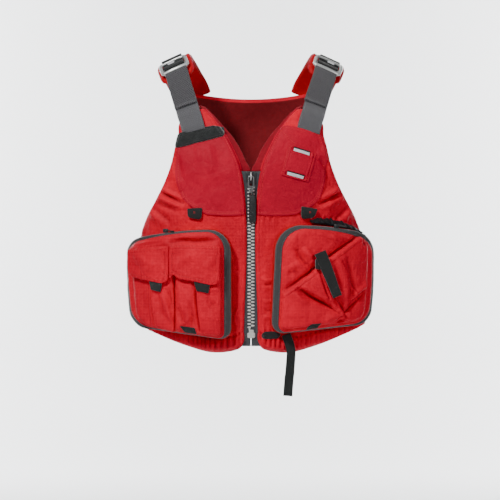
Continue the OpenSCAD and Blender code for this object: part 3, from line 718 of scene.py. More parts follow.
def waist_strap():
    points = smooth_path(WAIST_ROUTE, 2.0)
    n = len(points)
    t = np.linspace(0, 1, n)
    turn = np.radians(7 + 16 * np.sin(t * 5.0) * t)
    across, out = frames_along(points, np.stack([np.cos(turn), np.sin(turn), 0 * t], 1))
    section = strip_section(WAIST_WIDTH, 1.8, points=12) - [0, 0.9]

    def profile(k):
        p = section.copy()
        p[:, 1] += 0.35 * np.cos(p[:, 0] / WAIST_WIDTH * 6) * math.sin(k * 9)
        return p

    obj = sweep("waist_strap_webbing", points, across, out, profile, MAT["black_web"])
    place(obj, "front_left", "webbing_black", "waist_strap")
    return obj


waist_strap()


# ---------------------------------------------------------------- front panels
def spread(n, b=0.3, low=0.0, high=1.0):
    """n numbers from low to high, closer together at both ends."""
    x = np.linspace(-1, 1, n)
    return low + (high - low) * (x * (1 + b) - b * x**3 + 1) / 2


COVER_TOP = 389.0
HEM_X, HEM_Z = (12, 22, 40, 65, 106, 150, 175, 186), (5, 0, -4, -5, 4, 18, 28, 33)
NECK_Z = (0, 262, 282, 299, 320, 347, 365, 378, 389, 396)
NECK_X = (12, 12, 14.5, 19, 28, 42, 55, 65, 76, 84)
FLANK = ((0, 80), (50, 80), (95, 80), (140, 80), (180, 77), (205, 70))
ARMHOLE = ((235, 160), (265, 144), (293, 133), (326, 125), (345, 120), (362, 119), (378, 108), (389, 90))


def neck_x(z):
    return smooth_curve(z, NECK_Z, NECK_X)


def phi_at(x, z):
    depth = FRONT_DEPTH - FRONT_LEAN * np.maximum(0, z - BUST_Z) ** 2
    return np.degrees(np.arctan2(x, depth * (1 - (abs(x) / HALF_WIDTH) ** POWER) ** (1 / POWER)))


OUTER_Z = [z for z, _ in FLANK] + [z for z, _ in ARMHOLE]
OUTER_PHI = [p for _, p in FLANK] + [float(phi_at(x, z)) for z, x in ARMHOLE]


def hem_lift(phi, z):
    x = abs(torso(phi, np.maximum(z, 0))[..., 0])
    return smooth_curve(x, HEM_X, HEM_Z) * (1 - ease(z / 120))


def cover_places(side, nu, nv):
    """A grid of places over a front panel, from the zip's edge to the arm's."""
    z0 = (COVER_TOP * np.linspace(0, 1, nv) ** 0.94)[:, None]
    corner = corner_cut(z0, 9, 11)
    inner = phi_at(neck_x(z0) + corner, z0)
    outer = smooth_curve(z0, OUTER_Z, OUTER_PHI)
    phi = mix(inner, outer, spread(nu, 0.35)[None])
    z = z0 + hem_lift(phi, z0)
    return side * s_of(phi), z


# Folds of the front panels, as seen: (path, width, height).
PANEL_FOLDS = {
    RIGHT: [
        (((-153, 264), (-134, 250), (-108, 236)), 5.0, 2.6),
        (((-152, 254), (-132, 243), (-106, 231)), 4.0, -2.4),
        (((-158, 247), (-138, 237), (-106, 224)), 5.0, 2.4),
        (((-160, 236), (-140, 227), (-118, 219)), 4.5, -1.8),
        (((-131, 300), (-122, 276), (-112, 250)), 7.0, 1.5),
        (((-126, 318), (-117, 296), (-110, 268)), 6.0, -1.3),
        (((-168, 226), (-150, 208), (-138, 194)), 7.0, 1.8),
        (((-160, 228), (-143, 212), (-128, 200)), 5.0, -1.6),
        (((-182, 214), (-176, 196), (-170, 182)), 7.0, 1.4),
        (((-72, 332), (-64, 306), (-62, 280)), 7.0, 1.0),
        (((-58, 326), (-50, 304), (-44, 284)), 7.0, -0.8), (((-90, 332), (-84, 314), (-82, 298)), 5.0, 0.9),
        (((-20, 118), (-27, 122), (-31, 124)), 2.6, 1.0), (((-16, 62), (-24, 58), (-26, 40)), 3.0, 1.5),
        (((-20, 50), (-18, 38), (-22, 26)), 2.5, -1.4),
    ],
    LEFT: [
        (((150, 262), (131, 249), (108, 237)), 5.0, 2.6), (((150, 252), (130, 241), (108, 230)), 4.0, -2.2),
        (((157, 246), (137, 236), (110, 222)), 5.0, 2.2), (((104, 314), (122, 302), (130, 280)), 6.0, 2.0),
        (((108, 304), (120, 290), (124, 268)), 5.0, -1.7), (((112, 322), (124, 310), (128, 296)), 4.5, 1.4),
        (((166, 228), (150, 210), (140, 196)), 7.0, 1.8), (((158, 230), (144, 214), (132, 203)), 5.0, -1.5),
        (((182, 214), (176, 198), (170, 184)), 7.0, 1.4), (((124, 246), (126, 226), (122, 206)), 6.0, 1.2),
        (((17, 112), (26, 108), (36, 110)), 2.6, 1.2), (((17, 104), (26, 101), (36, 103)), 2.4, -1.1),
        (((18, 76), (28, 74), (36, 78)), 3.0, 1.2), (((16, 66), (26, 60), (38, 62)), 3.0, -1.3),
        (((17, 44), (26, 50), (36, 46)), 3.0, 1.2),
    ],
}


def hem_gathers(s, z):
    """The gathered elastic along the hem."""
    x = at(s, 60.0)[..., 0]
    above = z - smooth_curve(abs(x), HEM_X, HEM_Z)
    band = ease(above / 4) * (1 - ease((above - 17) / 5))
    phase = s / 8.5 * 2 * math.pi + 3.0 * noise(s, z * 0.2, 34, 71)
    ripple = np.sin(phase) * (0.8 + 0.6 * noise(s, z, 40, 72))
    spill = ease(above / 4) * (1 - ease((above - 16) / 34))
    return band * (1.8 + 1.3 * ripple) + spill * 0.9 * ripple - 1.6 * hill(above - 21, 2.2)


def cover_surface(side):
    """The offset of a front panel's outer face, as a function of the place."""
    s, z = cover_places(side, 60, 110)
    loop = loop_of(s, z)

    def height(s, z):
        d = edge_distance(s, z, loop)
        by_zip = (1 - ease((abs(s) - 17) / 16)) * (1 - ease((z - 262) / 24))
        h = rounded(d, mix(10, 5, by_zip), mix(8, 3, by_zip))
        h = h - 0.7 * hill(d - 6.5, 1.4)
        calm = ease(d / 16)
        h = h + calm * (1.7 * noise(s, z, 88, 11 + side) + 0.8 * noise(s, z, 31, 21 + side)
                        - 0.9 * abs(noise(s, z, 44, 25 + side)))
        h = h + calm * folds(s, z, PANEL_FOLDS[side])
        low_seam = (1 - ease((z - 209) / 4)) * ease((z - 178) / 30)
        h = h + (calm * low_seam * 0.5 * np.sin(s / 13 * 2 * math.pi + 5.0 * noise(s, z, 46, 31))
                 * (1 + noise(s, z, 30, 33)))
        return h + hem_gathers(s, z)

    return height


COVER_AT = {side: cover_surface(side) for side in SIDES}
FOAM_IN = -36.4


def front_panel(side):
    name = SIDES[side]
    s, z = cover_places(side, 120, 210)
    obj = slab(f"front_panel_{name}", s, z, COVER_AT[side](s, z), FOAM_IN + 0 * s, MAT["cover"], walls=6,
               bulge=3.0)
    place(obj, f"front_{name}", "cover_red", f"front_cover_{name}", f"front_foam_{name}", fill=0.8)
    s, z = cover_places(side, 40, 70)
    loop = loop_of(s, z)
    quilt = -1.2 * (1 - ease(edge_distance(s, z, loop) / 16)) + 0.8 * noise(s, z, 50, 41 + side)
    liner = slab(f"front_lining_{name}", s, z, FOAM_IN - 0.3 + 0 * s, FOAM_IN - 1.6 + quilt - 0.6,
                 MAT["liner"])
    place(liner, f"front_{name}", "liner_red", f"front_liner_{name}")


YOKE_Z = (213, 221, 234, 252, 275, 300, 325, 343)
YOKE_X = (70, 88, 105, 115, 120, 121, 117, 111)


def yoke_places(side, nu, nv):
    z0 = (213 + (343 - 213) * np.linspace(0, 1, nv) ** 1.25)[:, None]
    outer = smooth_curve(z0, YOKE_Z, YOKE_X)
    t = spread(nu, 0.25)[None]
    z_in = z0 + 14 * ease((z0 - 275) / 68)
    z = mix(z_in, z0, t)
    x = mix(neck_x(z_in) + 1.6, outer, t)
    sag = 1.6 * np.sin(np.pi * t) * (1 - ease((z0 - 213) / 30))
    return sight(side * x, z - sag, 1.0)


def chest_yoke(side):
    name = SIDES[side]
    s, z = yoke_places(side, 90, 110)
    loop = loop_of(s, z)
    base = COVER_AT[side]

    def height(s, z):
        d = edge_distance(s, z, loop)
        return (base(s, z) + 1.5 + 0.7 * (1 - ease((d - 5) / 2.0)) + rounded(d, 1.5, 0.8)
                - 0.5 * hill(d - 4.2, 0.7))

    obj = slab(f"chest_yoke_{name}_cloth", s, z, height(s, z), base(s, z) + 0.1, MAT["yoke"])
    place(obj, f"front_{name}", "yoke_red", f"chest_yoke_{name}")
    turn = 1 if side == LEFT else -1
    path = smooth_path(inset(loop, turn * 4.2), 1.5)
    keep = path[(path[:, 1] < 341) | (abs(path[:, 0]) > 50)]
    stitch_path(f"front_{name}", "red", keep, height, length=2.8, gap=1.2, radius=0.3)
    if side == LEFT:
        seam = seen_path([(44, 352), (52, 344), (64, 331), (70, 327)], 2.0)
        stitch_path("front_left", "red", seam, height, length=2.4, gap=1.2, radius=0.3)


FACING_Z = (282, 288, 293, 299, 320, 347, 365, 384, 395)
FACING_X = (0.4, 1.2, 3.0, 6.6, 15.5, 31.5, 46.5, 63, 75)


def neck_facing(side):
    name = SIDES[side]
    z0 = np.linspace(284, 393, 70)[:, None]
    t = np.linspace(0, 1, 16)[None]
    inner, outer = smooth_curve(z0, FACING_Z, FACING_X), neck_x(z0) + 2.5
    x = mix(inner, outer, t)
    s, z = sight(side * x, z0 + 0 * t, -10.5)
    lip = rounded(t * (outer - inner), 2.6, 2.2)
    slack = 0.7 * noise(s, z, 16, 51 + side) + 0.8 * hill(z0 - 304, 2.2)
    top = -12.0 + 3.8 * ease(t * 1.1) ** 1.5 + lip + slack
    obj = slab(f"neck_facing_{name}_cloth", s, z, top, top - 3.0 - 1.2 * t, MAT["facing"])
    place(obj, f"front_{name}", "facing_rose", f"neck_facing_{name}")
    # a cord-like binding along the panel's edge
    edge_z = np.linspace(286, 386, 60)
    s, z = sight(side * neck_x(edge_z), edge_z, -7.0)
    points = at(s, z, -7.6)
    across, out = frames_along(points, normal_at(s, z))
    piping = sweep(f"neck_binding_{name}", points, across, out, lambda k: round_section(1.3, 10),
                   MAT["yoke"])
    place(piping, f"front_{name}", "cover_red")


for side in SIDES:
    front_panel(side)
    chest_yoke(side)
    neck_facing(side)

# ---------------------------------------------------------------- front zip
ZIP_Y, ZIP_TOP = -136.0, 264.0
TOOTH_PITCH, TEETH_LOW = 5.4, 32.0
BAIL_Z, PULLER_Y, PULLER_END = 274.0, -142.4, 248.0


def zip_tapes(side):
    name = SIDES[side]
    z = np.linspace(3, 283, 140)
    flare = 3.5 * ease((z - 262) / 20)
    centre = np.stack([side * (7.6 + flare * 0.5), np.full_like(z, ZIP_Y) - 0.2, z], 1)
    across = np.tile([1.0, 0, 0], (len(z), 1))
    out = np.tile([0, -1.0, 0], (len(z), 1))

    def profile(k):
        p = strip_section(14.0 + 3.5 * ease((k * 280 - 259) / 20), 0.9, points=18) - [0, 0.45]
        p[:, 1] += 0.54 * hill(p[:, 0] + side * 3.6, 0.9)
        return p

    obj = sweep(f"zip_tape_{name}_woven", centre, across, out, profile, MAT["zip_tape"])
    place(obj, f"front_{name}", "zip_tape_grey", f"zip_tape_{name}")
    for x in (9.6, 11.2):
        line = np.stack([side * np.full_like(z[4:-12], x), np.full_like(z[4:-12], ZIP_Y - 0.75), z[4:-12]],
                        1)
        stitch(f"front_{name}", "grey", line, np.tile([0, -1.0, 0], (len(line), 1)), length=2.4, gap=0.9,
               radius=0.22)


def zip_teeth(side):
    name = SIDES[side]
    shift = 0 if side == RIGHT else TOOTH_PITCH / 2
    count = int((ZIP_TOP - 2 - TEETH_LOW - shift) / TOOTH_PITCH)
    parts = []
    for k in range(count):
        z = TEETH_LOW + shift + k * TOOTH_PITCH + 1.2
        parts.append(box_part((side * 3.5, ZIP_Y, z), (3.4, 3.6, 2.5), 0.6, steps=2))
        parts.append(box_part((side * 1.5, ZIP_Y, z), (2.3, 3.3, 3.2), 0.7, steps=2))
        parts.append(box_part((side * 5.0, ZIP_Y, z), (1.2, 3.0, 1.7), 0.4, steps=2))
    obj = merge(f"zip_teeth_{name}_moulded", parts, MAT["silver"])
    place(obj, f"front_{name}", "zip_silver", f"zip_teeth_{name}")


def plate_part(outline, y_front, y_back, bevel):
    """A plate for merge(), with a rounded edge, from its outline as (x, z) points. It faces -y."""
    outline = np.asarray(outline, float)
    area = np.sum(outline[:, 0] * np.roll(outline[:, 1], -1) - np.roll(outline[:, 0], -1) * outline[:, 1])
    if area < 0:
        outline = outline[::-1]
    rings = []
    for turn in (90, 45, 0):
        a = math.radians(turn)
        loop = inset(outline, bevel * (1 - math.cos(a)))
        rings.append(np.stack([loop[:, 0], np.full(len(loop), y_front + bevel * (1 - math.sin(a))),
                               loop[:, 1]], 1))
    for turn in (0, 45, 90):
        a = math.radians(turn)
        loop = inset(outline, bevel * (1 - math.cos(a)))
        rings.append(np.stack([loop[:, 0], np.full(len(loop), y_back - bevel * (1 - math.sin(a))),
                               loop[:, 1]], 1))
    n = len(outline)
    verts = np.vstack(rings)
    faces = [tuple(f) for f in quads(len(rings), n, 0, wrap=True)]
    middle = outline.mean(0)
    verts = np.vstack([verts, [[middle[0], y_front, middle[1]], [middle[0], y_back, middle[1]]]])
    last = (len(rings) - 1) * n
    for i in range(n):
        j = (i + 1) % n
        faces.append((len(verts) - 2, j, i))
        faces.append((len(verts) - 1, last + i, last + j))
    return verts, faces, verts[:, [0, 2]] * MM


def round_rect(cx, cz, w, h, r, steps=6):
    """The outline of a rectangle with round corners."""
    points = []
    for sx, sz, first in ((1, 1, 0), (-1, 1, 90), (-1, -1, 180), (1, -1, 270)):
        for k in range(steps + 1):
            a = math.radians(first + 90 * k / steps)
            points.append((cx + sx * (w / 2 - r) + r * math.cos(a),
                           cz + sz * (h / 2 - r) + r * math.sin(a)))
    return points


def wire_loop(cx, cz, w, h, r, y, radius, flat=1.0):
    """A closed loop of wire as a part for merge()."""
    loop = np.array(round_rect(cx, cz, w, h, r, steps=8))
    run = unit(np.roll(loop, -1, 0) - np.roll(loop, 1, 0))
    points = np.stack([loop[:, 0], np.full(len(loop), y), loop[:, 1]], 1)
    across = np.stack([run[:, 1], 0 * run[:, 0], -run[:, 0]], 1)
    verts, faces = closed_tube(points, across, np.array([0, -1.0, 0]), round_section(radius, 10, flat))
    return verts, faces, verts[:, [0, 2]] * MM


def zip_slider():
    z0 = ZIP_TOP
    body = [(-6.2, z0), (6.2, z0), (6.9, z0 + 5), (7.8, z0 + 11), (7.8, z0 + 16), (6.4, z0 + 18.2),
            (-6.4, z0 + 18.2), (-7.8, z0 + 16), (-7.8, z0 + 11), (-6.9, z0 + 5)]
    body = smooth_path(body + body[:1], 1.0)[:-1]
    front, back = -139.4, -132.6
    parts = [plate_part(body, front, front + 1.5, 0.5), plate_part(body, back - 1.5, back, 0.5)]
    for x in (-1, 1):
        parts.append(bar_part((x * 6.4, ZIP_Y, z0 + 0.6), (x * 7.1, ZIP_Y, z0 + 12), 0.9, 5.2, (0, -1, 0)))
    dark = merge("zip_slider_body", parts, MAT["dark_metal"])
    place(dark, "zip_slider", "zip_silver", "zip_slider")
    arch = [(0, front + 0.3, z0 + 17), (0, front - 2.4, z0 + 16.2), (0, front - 4.8, z0 + 12.5),
            (0, front - 5.0, z0 + 8.5), (0, front - 3.0, z0 + 5.0), (0, front + 0.3, z0 + 4.0)]
    bail = merge("zip_slider_bail", [tube_part(arch, 1.25, hint=(1, 0, 0), flat=0.7)], MAT["buckle"])
    place(bail, "zip_slider", "zip_silver")


def zip_puller():
    y = PULLER_Y
    parts = [wire_loop(0, BAIL_Z - 8.2, 8.0, 18.2, 3.2, y, 1.25, 0.8)]
    parts.append(plate_part(round_rect(0, PULLER_END + 4.6, 7.0, 9.0, 1.6), y - 1.2, y + 1.2, 0.5))
    parts.append(plate_part(round_rect(0, PULLER_END + 9.6, 8.4, 3.2, 1.2), y - 1.6, y + 1.4, 0.6))
    for k in range(3):
        parts.append(box_part((0, y - 1.3, PULLER_END + 2.6 + 2.1 * k), (4.6, 0.8, 0.9), 0.3, steps=2))
    obj = merge("zip_puller_metal", parts, MAT["metal"])
    place(obj, "zip_puller", "zip_silver", "zip_puller")


def pull_tab():
    y, x = PULLER_Y, 2.4
    top, foot = PULLER_END - 4.0, PULLER_END - 48.0
    outline = [(x - 3.6, top), (x + 3.6, top), (x + 5.0, top - 5), (x + 5.6, top - 20), (x + 5.4, foot + 5),
               (x + 3.4, foot), (x - 3.4, foot), (x - 5.4, foot + 5), (x - 5.6, top - 20),
               (x - 5.0, top - 5)]
    outline = smooth_path(outline + outline[:1], 1.2)[:-1]
    parts = [plate_part(outline, y - 1.7, y + 1.7, 1.2)]
    for k in range(9):
        parts.append(box_part((x, y - 1.75, top - 9 - 3.4 * k), (7.4 if k % 2 else 6.6, 0.9, 1.2), 0.4,
                              steps=2))
    parts.append(wire_loop(x, (top + foot) / 2, 9.4, 40, 3.6, y - 1.5, 0.55))
    parts.append(wire_loop(0.6, PULLER_END - 1.6, 5.0, 7.4, 2.0, y, 1.3))
    obj = merge("pull_tab_moulded", parts, MAT["black"])
    place(obj, "pull_tab", "trim_black", "pull_tab")


def zip_ends():
    box = [plate_part(round_rect(0.3, 20.4, 12.4, 8.2, 2.0), ZIP_Y - 3.2, ZIP_Y + 2.6, 1.0),
           plate_part(round_rect(0.6, 26.0, 7.6, 6.6, 1.6), ZIP_Y - 2.6, ZIP_Y + 2.2, 0.8),
           plate_part(round_rect(0.3, 17.6, 9.2, 3.2, 1.2), ZIP_Y - 3.9, ZIP_Y - 2.6, 0.5),
           box_part((3.6, ZIP_Y - 3.1, 21.4), (1.4, 1.0, 4.2), 0.4, steps=2),
           box_part((-3.0, ZIP_Y - 3.1, 21.4), (1.4, 1.0, 4.2), 0.4, steps=2)]
    place(merge("zip_box_moulded", box, MAT["silver"]), "front_left", "zip_silver", "zip_box")
    pin = [box_part((-2.6, ZIP_Y, 30.4), (2.6, 2.6, 4.4), 0.8)]
    place(merge("zip_pin_moulded", pin, MAT["silver"]), "front_right", "zip_silver", "zip_pin")


for side in SIDES:
    zip_tapes(side)
    zip_teeth(side)
zip_slider()
zip_puller()
pull_tab()
zip_ends()

# ---------------------------------------------------------------- shoulders
BUCKLE_AT = np.array([125.8, -29.0, 458.5])
BUCKLE_SIDE = unit([0.91, 0.05, -0.412])
BUCKLE_LEAN = np.array([0.12, 0.75, 0.62])
BUCKLE_UP = unit(BUCKLE_LEAN - BUCKLE_LEAN @ BUCKLE_SIDE * BUCKLE_SIDE)
BUCKLE_OUT = np.cross(BUCKLE_SIDE, BUCKLE_UP)
CHEST_SIDE = unit([0.954, 0.12, -0.269])
STRAP_WIDTH = 38.0


def near_buckle(across, up, out):
    return BUCKLE_AT + across * BUCKLE_SIDE + up * BUCKLE_UP + out * BUCKLE_OUT


def mirrored(points, side):
    return np.asarray(points, float) * [side, 1, 1]


def strap_points():
    def on_chest(x, z, out):
        s, z = sight(x, z, out)
        return at(s, z, out)
    return [on_chest(91.5, 346, 0.9), on_chest(93.5, 355, 2.0), on_chest(96.5, 365, 2.4),
            on_chest(99.6, 374, 2.4), (104.8, -87.8, 392),
            (112.5, -68.6, 416.6), (117, -56.8, 431.5), near_buckle(0, -19, 0.2), near_buckle(0, -9, -1.5)]


def strap_frame(points):
    t = np.linspace(0, 1, len(points))[:, None]
    return frames_along(points, unit(mix(CHEST_SIDE, BUCKLE_SIDE, t)))


def shoulder_strap(side):
    name = SIDES[side]
    line = smooth_path(strap_points(), 1.6)
    across, out = strap_frame(line)
    wave = 0.5 * np.sin(np.linspace(0, 9, len(line)))[:, None]
    lower = mirrored(line + out * wave, side), mirrored(across, side), mirrored(out, side)
    obj = sweep(f"shoulder_strap_{name}_webbing", *lower,
                lambda k: strip_section(STRAP_WIDTH, 1.9, 0.5, 24), MAT["grey_web"])
    place(obj, f"front_{name}", "webbing_grey", f"shoulder_strap_{name}")
    for x in (-16.6, 16.6):
        edge = line + across * x + out * (2.0 + 0.1)
        stitch(f"front_{name}", "grey", mirrored(edge[4:-4], side), mirrored(out[4:-4], side), length=2.0,
               gap=0.6, radius=0.28)
    # the adjusting tail, doubled back over the strap
    n = len(line)
    first = int(n * (0.36 if side == RIGHT else 0.39))
    tail, a, o = line[first:], across[first:], out[first:]
    t = np.linspace(0, 1, len(tail))[:, None]
    slip = -2.2 if side == LEFT else 0.6
    rise = 2.3 + 1.6 * np.sin(np.pi * t) + 0.8 * (1 - ease(t / 0.12))
    tail = tail + o * rise + a * slip * (1 - t)
    top = sweep(f"strap_tail_{name}", mirrored(tail, side), mirrored(a, side), mirrored(o, side),
                lambda k: strip_section(STRAP_WIDTH - 0.6, 1.9, 0.8, 24), MAT["grey_web_dark"])
    place(top, f"front_{name}", "webbing_grey")
    for k in (3.0, 5.6):
        end = int(round(k / 1.6))
        cut = (tail[end] + a[end] * np.linspace(-17.5, 17.5, 24)[:, None]
               + o[end] * (1.9 + 0.7 * (1 - np.linspace(-1, 1, 24)[:, None] ** 2)))
        stitch(f"front_{name}", "grey", mirrored(cut, side), mirrored(np.tile(o[end], (24, 1)), side),
               length=2.0, gap=0.8, radius=0.28)


def shoulder_buckle(side):
    name = SIDES[side]
    s, o = mirrored(BUCKLE_SIDE, side), mirrored(BUCKLE_OUT, side)

    def spot(across, up, out):
        return mirrored(near_buckle(across, up, out), side)

    def bar(a, b, width, depth, radius=None):
        return bar_part(spot(*a), spot(*b), width, depth, o, radius)

    def curved(points, radius, flat):
        return tube_part([spot(*p) for p in points], radius, hint=o, flat=flat)

    frame_parts = [
        curved([(-20, -12.8, 2.6), (-10, -13.8, 3.8), (0, -14.0, 4.2), (10, -13.8, 3.8), (20, -12.8, 2.6)],
               3.7, 1.0),
        curved([(-18, -12.6, 2.4), (-21.4, -10.4, 2.3), (-22.0, -4, 2.2), (-22.0, 4, 2.2), (-21.6, 11, 2.2),
                (-18.6, 13.8, 2.2)], 2.9, 1.0),
        curved([(18, -12.6, 2.4), (21.4, -10.4, 2.3), (22.0, -4, 2.2), (22.0, 4, 2.2), (21.6, 11, 2.2),
                (18.6, 13.8, 2.2)], 2.9, 1.0),
        curved([(-19.5, 13.6, 2.2), (-9, 14.6, 2.4), (9, 14.6, 2.4), (19.5, 13.6, 2.2)], 2.0, 1.0),
        bar((-21, -3.2, 1.4), (21, -3.2, 1.4), 3.4, 3.2),
    ]
    for k in range(7):
        x = -15 + 5 * k
        frame_parts.append(bar((x, -4.0, 2.9), (x, -2.4, 2.9), 2.2, 1.0))
    obj = merge(f"shoulder_buckle_{name}_frame", frame_parts, MAT["buckle"])
    place(obj, f"shoulder_buckle_{name}", "buckle_silver", f"shoulder_buckle_{name}")
    plate = merge(f"shoulder_buckle_{name}_mark", [bar((-3.0, 8.2, 4.2), (9.0, 8.2, 4.2), 4.8, 1.6, 0.6)],
                  MAT["reflect"])
    place(plate, f"shoulder_buckle_{name}", "buckle_silver")
    # the pad's webbing, doubled through the upper window and round the middle bar
    loop = [spot(0, y, h) for y, h in ((30, -3.0), (22, -2.6), (14, -1.6), (8, 0.6), (2.5, 3.0),
                                       (-1.5, 4.4), (-5.4, 3.4), (-6.2, 0.8), (-4.0, -1.4),
                                       (2, -2.6), (12, -4.2), (26, -5.0))]
    line = smooth_path(loop, 1.2)
    across, out = frames_along(line, s)
    web = sweep(f"buckle_loop_{name}", line, across, out, lambda k: strip_section(36.0, 1.6, 0, 16),
                MAT["black_web"])
    place(web, None, "webbing_black", *(["buckle_loops"] if side == LEFT else []))
    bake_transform(web)
    ridges = [bar((-17.4, y, h), (17.4, y, h), 1.5, 1.3) for y, h in ((3.6, 4.2), (6.4, 3.4), (10.6, 1.9))]
    place(merge(f"buckle_ribs_{name}", ridges, MAT["black"]), f"shoulder_buckle_{name}", "trim_black")


PAD_LINE = [
    (near_buckle(0, -24, -4.6), 24), (near_buckle(0, -12, -5.2), 28), (near_buckle(0, 4, -5.6), 29),
    (near_buckle(0, 20, -5.4), 29),
    ((128.6, 8, 472), 29), ((127.5, 30, 471.5), 29.5), ((122, 56, 463), 30), ((113.5, 80, 448), 30.5),
    ((104, 98, 431), 31), ((99, 107, 418), 31),
]


def shoulder_pad(side):
    name = SIDES[side]
    middle = smooth_path([np.append(p, w) for p, w in PAD_LINE], 2.0)
    half, middle = middle[:, 3], middle[:, :3]
    n = len(middle)
    t = np.linspace(0, 1, n)[:, None]
    hint = unit(mix(BUCKLE_SIDE, np.array([0.98, -0.02, -0.2]), ease(t - 0.3)))
    across, out = frames_along(middle, hint)
    across, out = mirrored(across, side), mirrored(out, side)
    thick = 8.6

    def profile(k):
        w = float(np.interp(k, np.linspace(0, 1, n), half))
        close = math.sqrt(max(0.02, 1 - (1 - min(1.0, k / 0.07)) ** 2))
        w = w * (0.72 + 0.28 * close)
        x = np.sin(np.linspace(-1, 1, 30) * math.pi / 2) * w
        edge = np.sqrt(np.maximum(0, 1 - (np.clip((abs(x) - (w - 5)) / 5, 0, 1)) ** 2))
        pucker = 0.8 * np.sin(k * 62 + 2 * np.sign(x)) * ease((abs(x) - w * 0.5) / (w * 0.4)) * edge
        seam = -1.1 * np.exp(-((abs(x) - (w - 6.5)) / 1.2) ** 2)
        top = (0.8 * (1 - (x / w) ** 2)) + thick / 2 * (edge * close - 1) + (pucker + seam) * close
        low = -thick + thick / 2 * (1 - edge * close)
        return np.stack([np.concatenate([x, x[::-1][1:-1]]), np.concatenate([low, top[::-1][1:-1]])], 1)

    obj = sweep(f"shoulder_pad_{name}_cloth", mirrored(middle, side), across, out, profile,
                MAT["cover_plain"])
    place(obj, None, "cover_red", f"shoulder_pad_{name}", fill=0.7)
    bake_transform(obj)
    for edge in (-1, 1):
        points = mirrored(middle, side) + across * (edge * (half[:, None] - 0.6)) - out * thick / 2
        piping = sweep(f"pad_piping_{name}_{'inner' if edge < 0 else 'outer'}", points[4:], across[4:],
                       out[4:],
                       lambda k: round_section(1.5, 8), MAT["yoke"])
        place(piping, None, "yoke_red")
        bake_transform(piping)


for side in SIDES:
    shoulder_strap(side)
    shoulder_buckle(side)
    shoulder_pad(side)

# ---------------------------------------------------------------- patches on the surface
def corner_arc(before, corner, after, radius, n=9):
    a, b = unit(before - corner), unit(after - corner)
    start, end = corner + a * radius, corner + b * radius
    t = np.linspace(0, 1, n)[:, None]
    w = 0.7071
    return ((start * (1 - t) ** 2 + 2 * w * t * (1 - t) * corner + end * t**2)
            / ((1 - t) ** 2 + 2 * w * t * (1 - t) + t**2))


def four_sides(corners, radii, bulges, counts, dense=0.3):
    """The sides of a four-cornered outline, each from the middle of one rounded corner to the middle
    of the next. A bulge is how far a side bows outwards, or the points that it runs through."""
    c = np.array(corners, float)
    centre = c.mean(0)
    arcs = [corner_arc(c[k - 1], c[k], c[(k + 1) % 4], radii[k]) for k in range(4)]
    sides = []
    for k in range(4):
        a, b = arcs[k], arcs[(k + 1) % 4]
        start, end = a[-1], b[0]
        if np.ndim(bulges[k]):
            line = smooth_path(np.vstack([[start], np.array(bulges[k], float), [end]]), 1.0)
        else:
            t = np.linspace(0, 1, 30)[:, None]
            away = unit(np.array([end[1] - start[1], start[0] - end[0]]))
            away = away * np.sign(np.dot(away, (start + end) / 2 - centre))
            line = mix(start, end, t) + away * bulges[k] * 4 * t * (1 - t)
        line = np.vstack([a[4:], line[1:-1], b[:5]])
        run = np.concatenate([[0], np.cumsum(np.linalg.norm(np.diff(line, axis=0), axis=1))])
        place = spread(counts[k % 2], dense) * run[-1]
        sides.append(np.stack([np.interp(place, run, line[:, i]) for i in (0, 1)], 1))
    return sides


def patch(corners, radii=(2, 2, 2, 2), bulges=(0, 0, 0, 0), out=0.0, nu=60, nv=50, dense=0.3):
    """A grid of places over a four-cornered outline seen in the picture plane. The corners are in
    order round it, with the first two at its foot."""
    low, right, high, left = four_sides(corners, radii, bulges, (nu, nv), dense)
    high, left = high[::-1], left[::-1]
    u, v = spread(nu, dense)[None, :, None], spread(nv, dense)[:, None, None]
    p = (1 - v) * low[None] + v * high[None] + (1 - u) * left[:, None] + u * right[:, None]
    p = p - ((1 - u) * (1 - v) * low[0] + u * (1 - v) * low[-1] + (1 - u) * v * high[0] + u * v * high[-1])
    return sight(p[..., 0], p[..., 1], out)


def overlap(s, z, points, height, reach, out=0.0, low=0.0, gap=0.0):
    """A sharp step along points seen at (x, z): high on its left, looking along it, falling away over
    reach, and low on its right. gap is the depth of the narrow groove at its foot."""
    d, way, along = path_distance(s, z, seen_path(points, out, 3.0))
    d = d * way
    fade = np.sin(np.pi * np.clip(along, 0.0, 1.0)) ** 0.4
    on = ease((d + 0.9) / 1.8)
    step = height * on * np.exp(-((np.maximum(d, 0) / reach) ** 2)) - low * (1 - on) * hill(d, 4.0)
    return fade * (step - gap * hill(d + 1.4, 1.5))


def ribbon(points, widths, out, rows=40, cols=14):
    """A grid of places along a strip seen at points, with its widths along it."""
    path = smooth_path(smooth_path(points, 1.0), 1.0)
    run = np.linspace(0, 1, len(path))
    t = spread(rows, 0.3)
    centre = np.stack([np.interp(t, run, path[:, k]) for k in (0, 1)], 1)
    forward = unit(np.gradient(centre, axis=0))
    side = np.stack([forward[:, 1], -forward[:, 0]], 1)
    half = np.interp(t, np.linspace(0, 1, len(widths)), widths)[:, None, None] / 2
    p = centre[:, None] + side[:, None] * half * spread(cols, 0.3, -1, 1)[None, :, None]
    return sight(p[..., 0], p[..., 1], out)


def tab(name, body, corners, surface, thickness, node, radii=(1.5, 1.5, 1.5, 1.5), crown=0.0, out=36.0):
    """A small webbing tab lying on the surface given as a function of the place."""
    s, z = patch(corners, radii, (0, 0, 0, 0), out, 26, 20)
    loop = loop_of(s, z)

    def height(s, z):
        d = edge_distance(s, z, loop)
        return surface(s, z) + thickness + crown * ease(d / 6) + rounded(d, 0.8, 0.6)

    obj = slab(name, s, z, height(s, z), surface(s, z) + 0.05, MAT["tab"])
    place(obj, body, "trim_black", node)
    stitch_path(body, "black", inset(loop, 1.6 * np.sign(area_of(loop))), height, length=1.8, gap=0.8,
                radius=0.2)
    return height


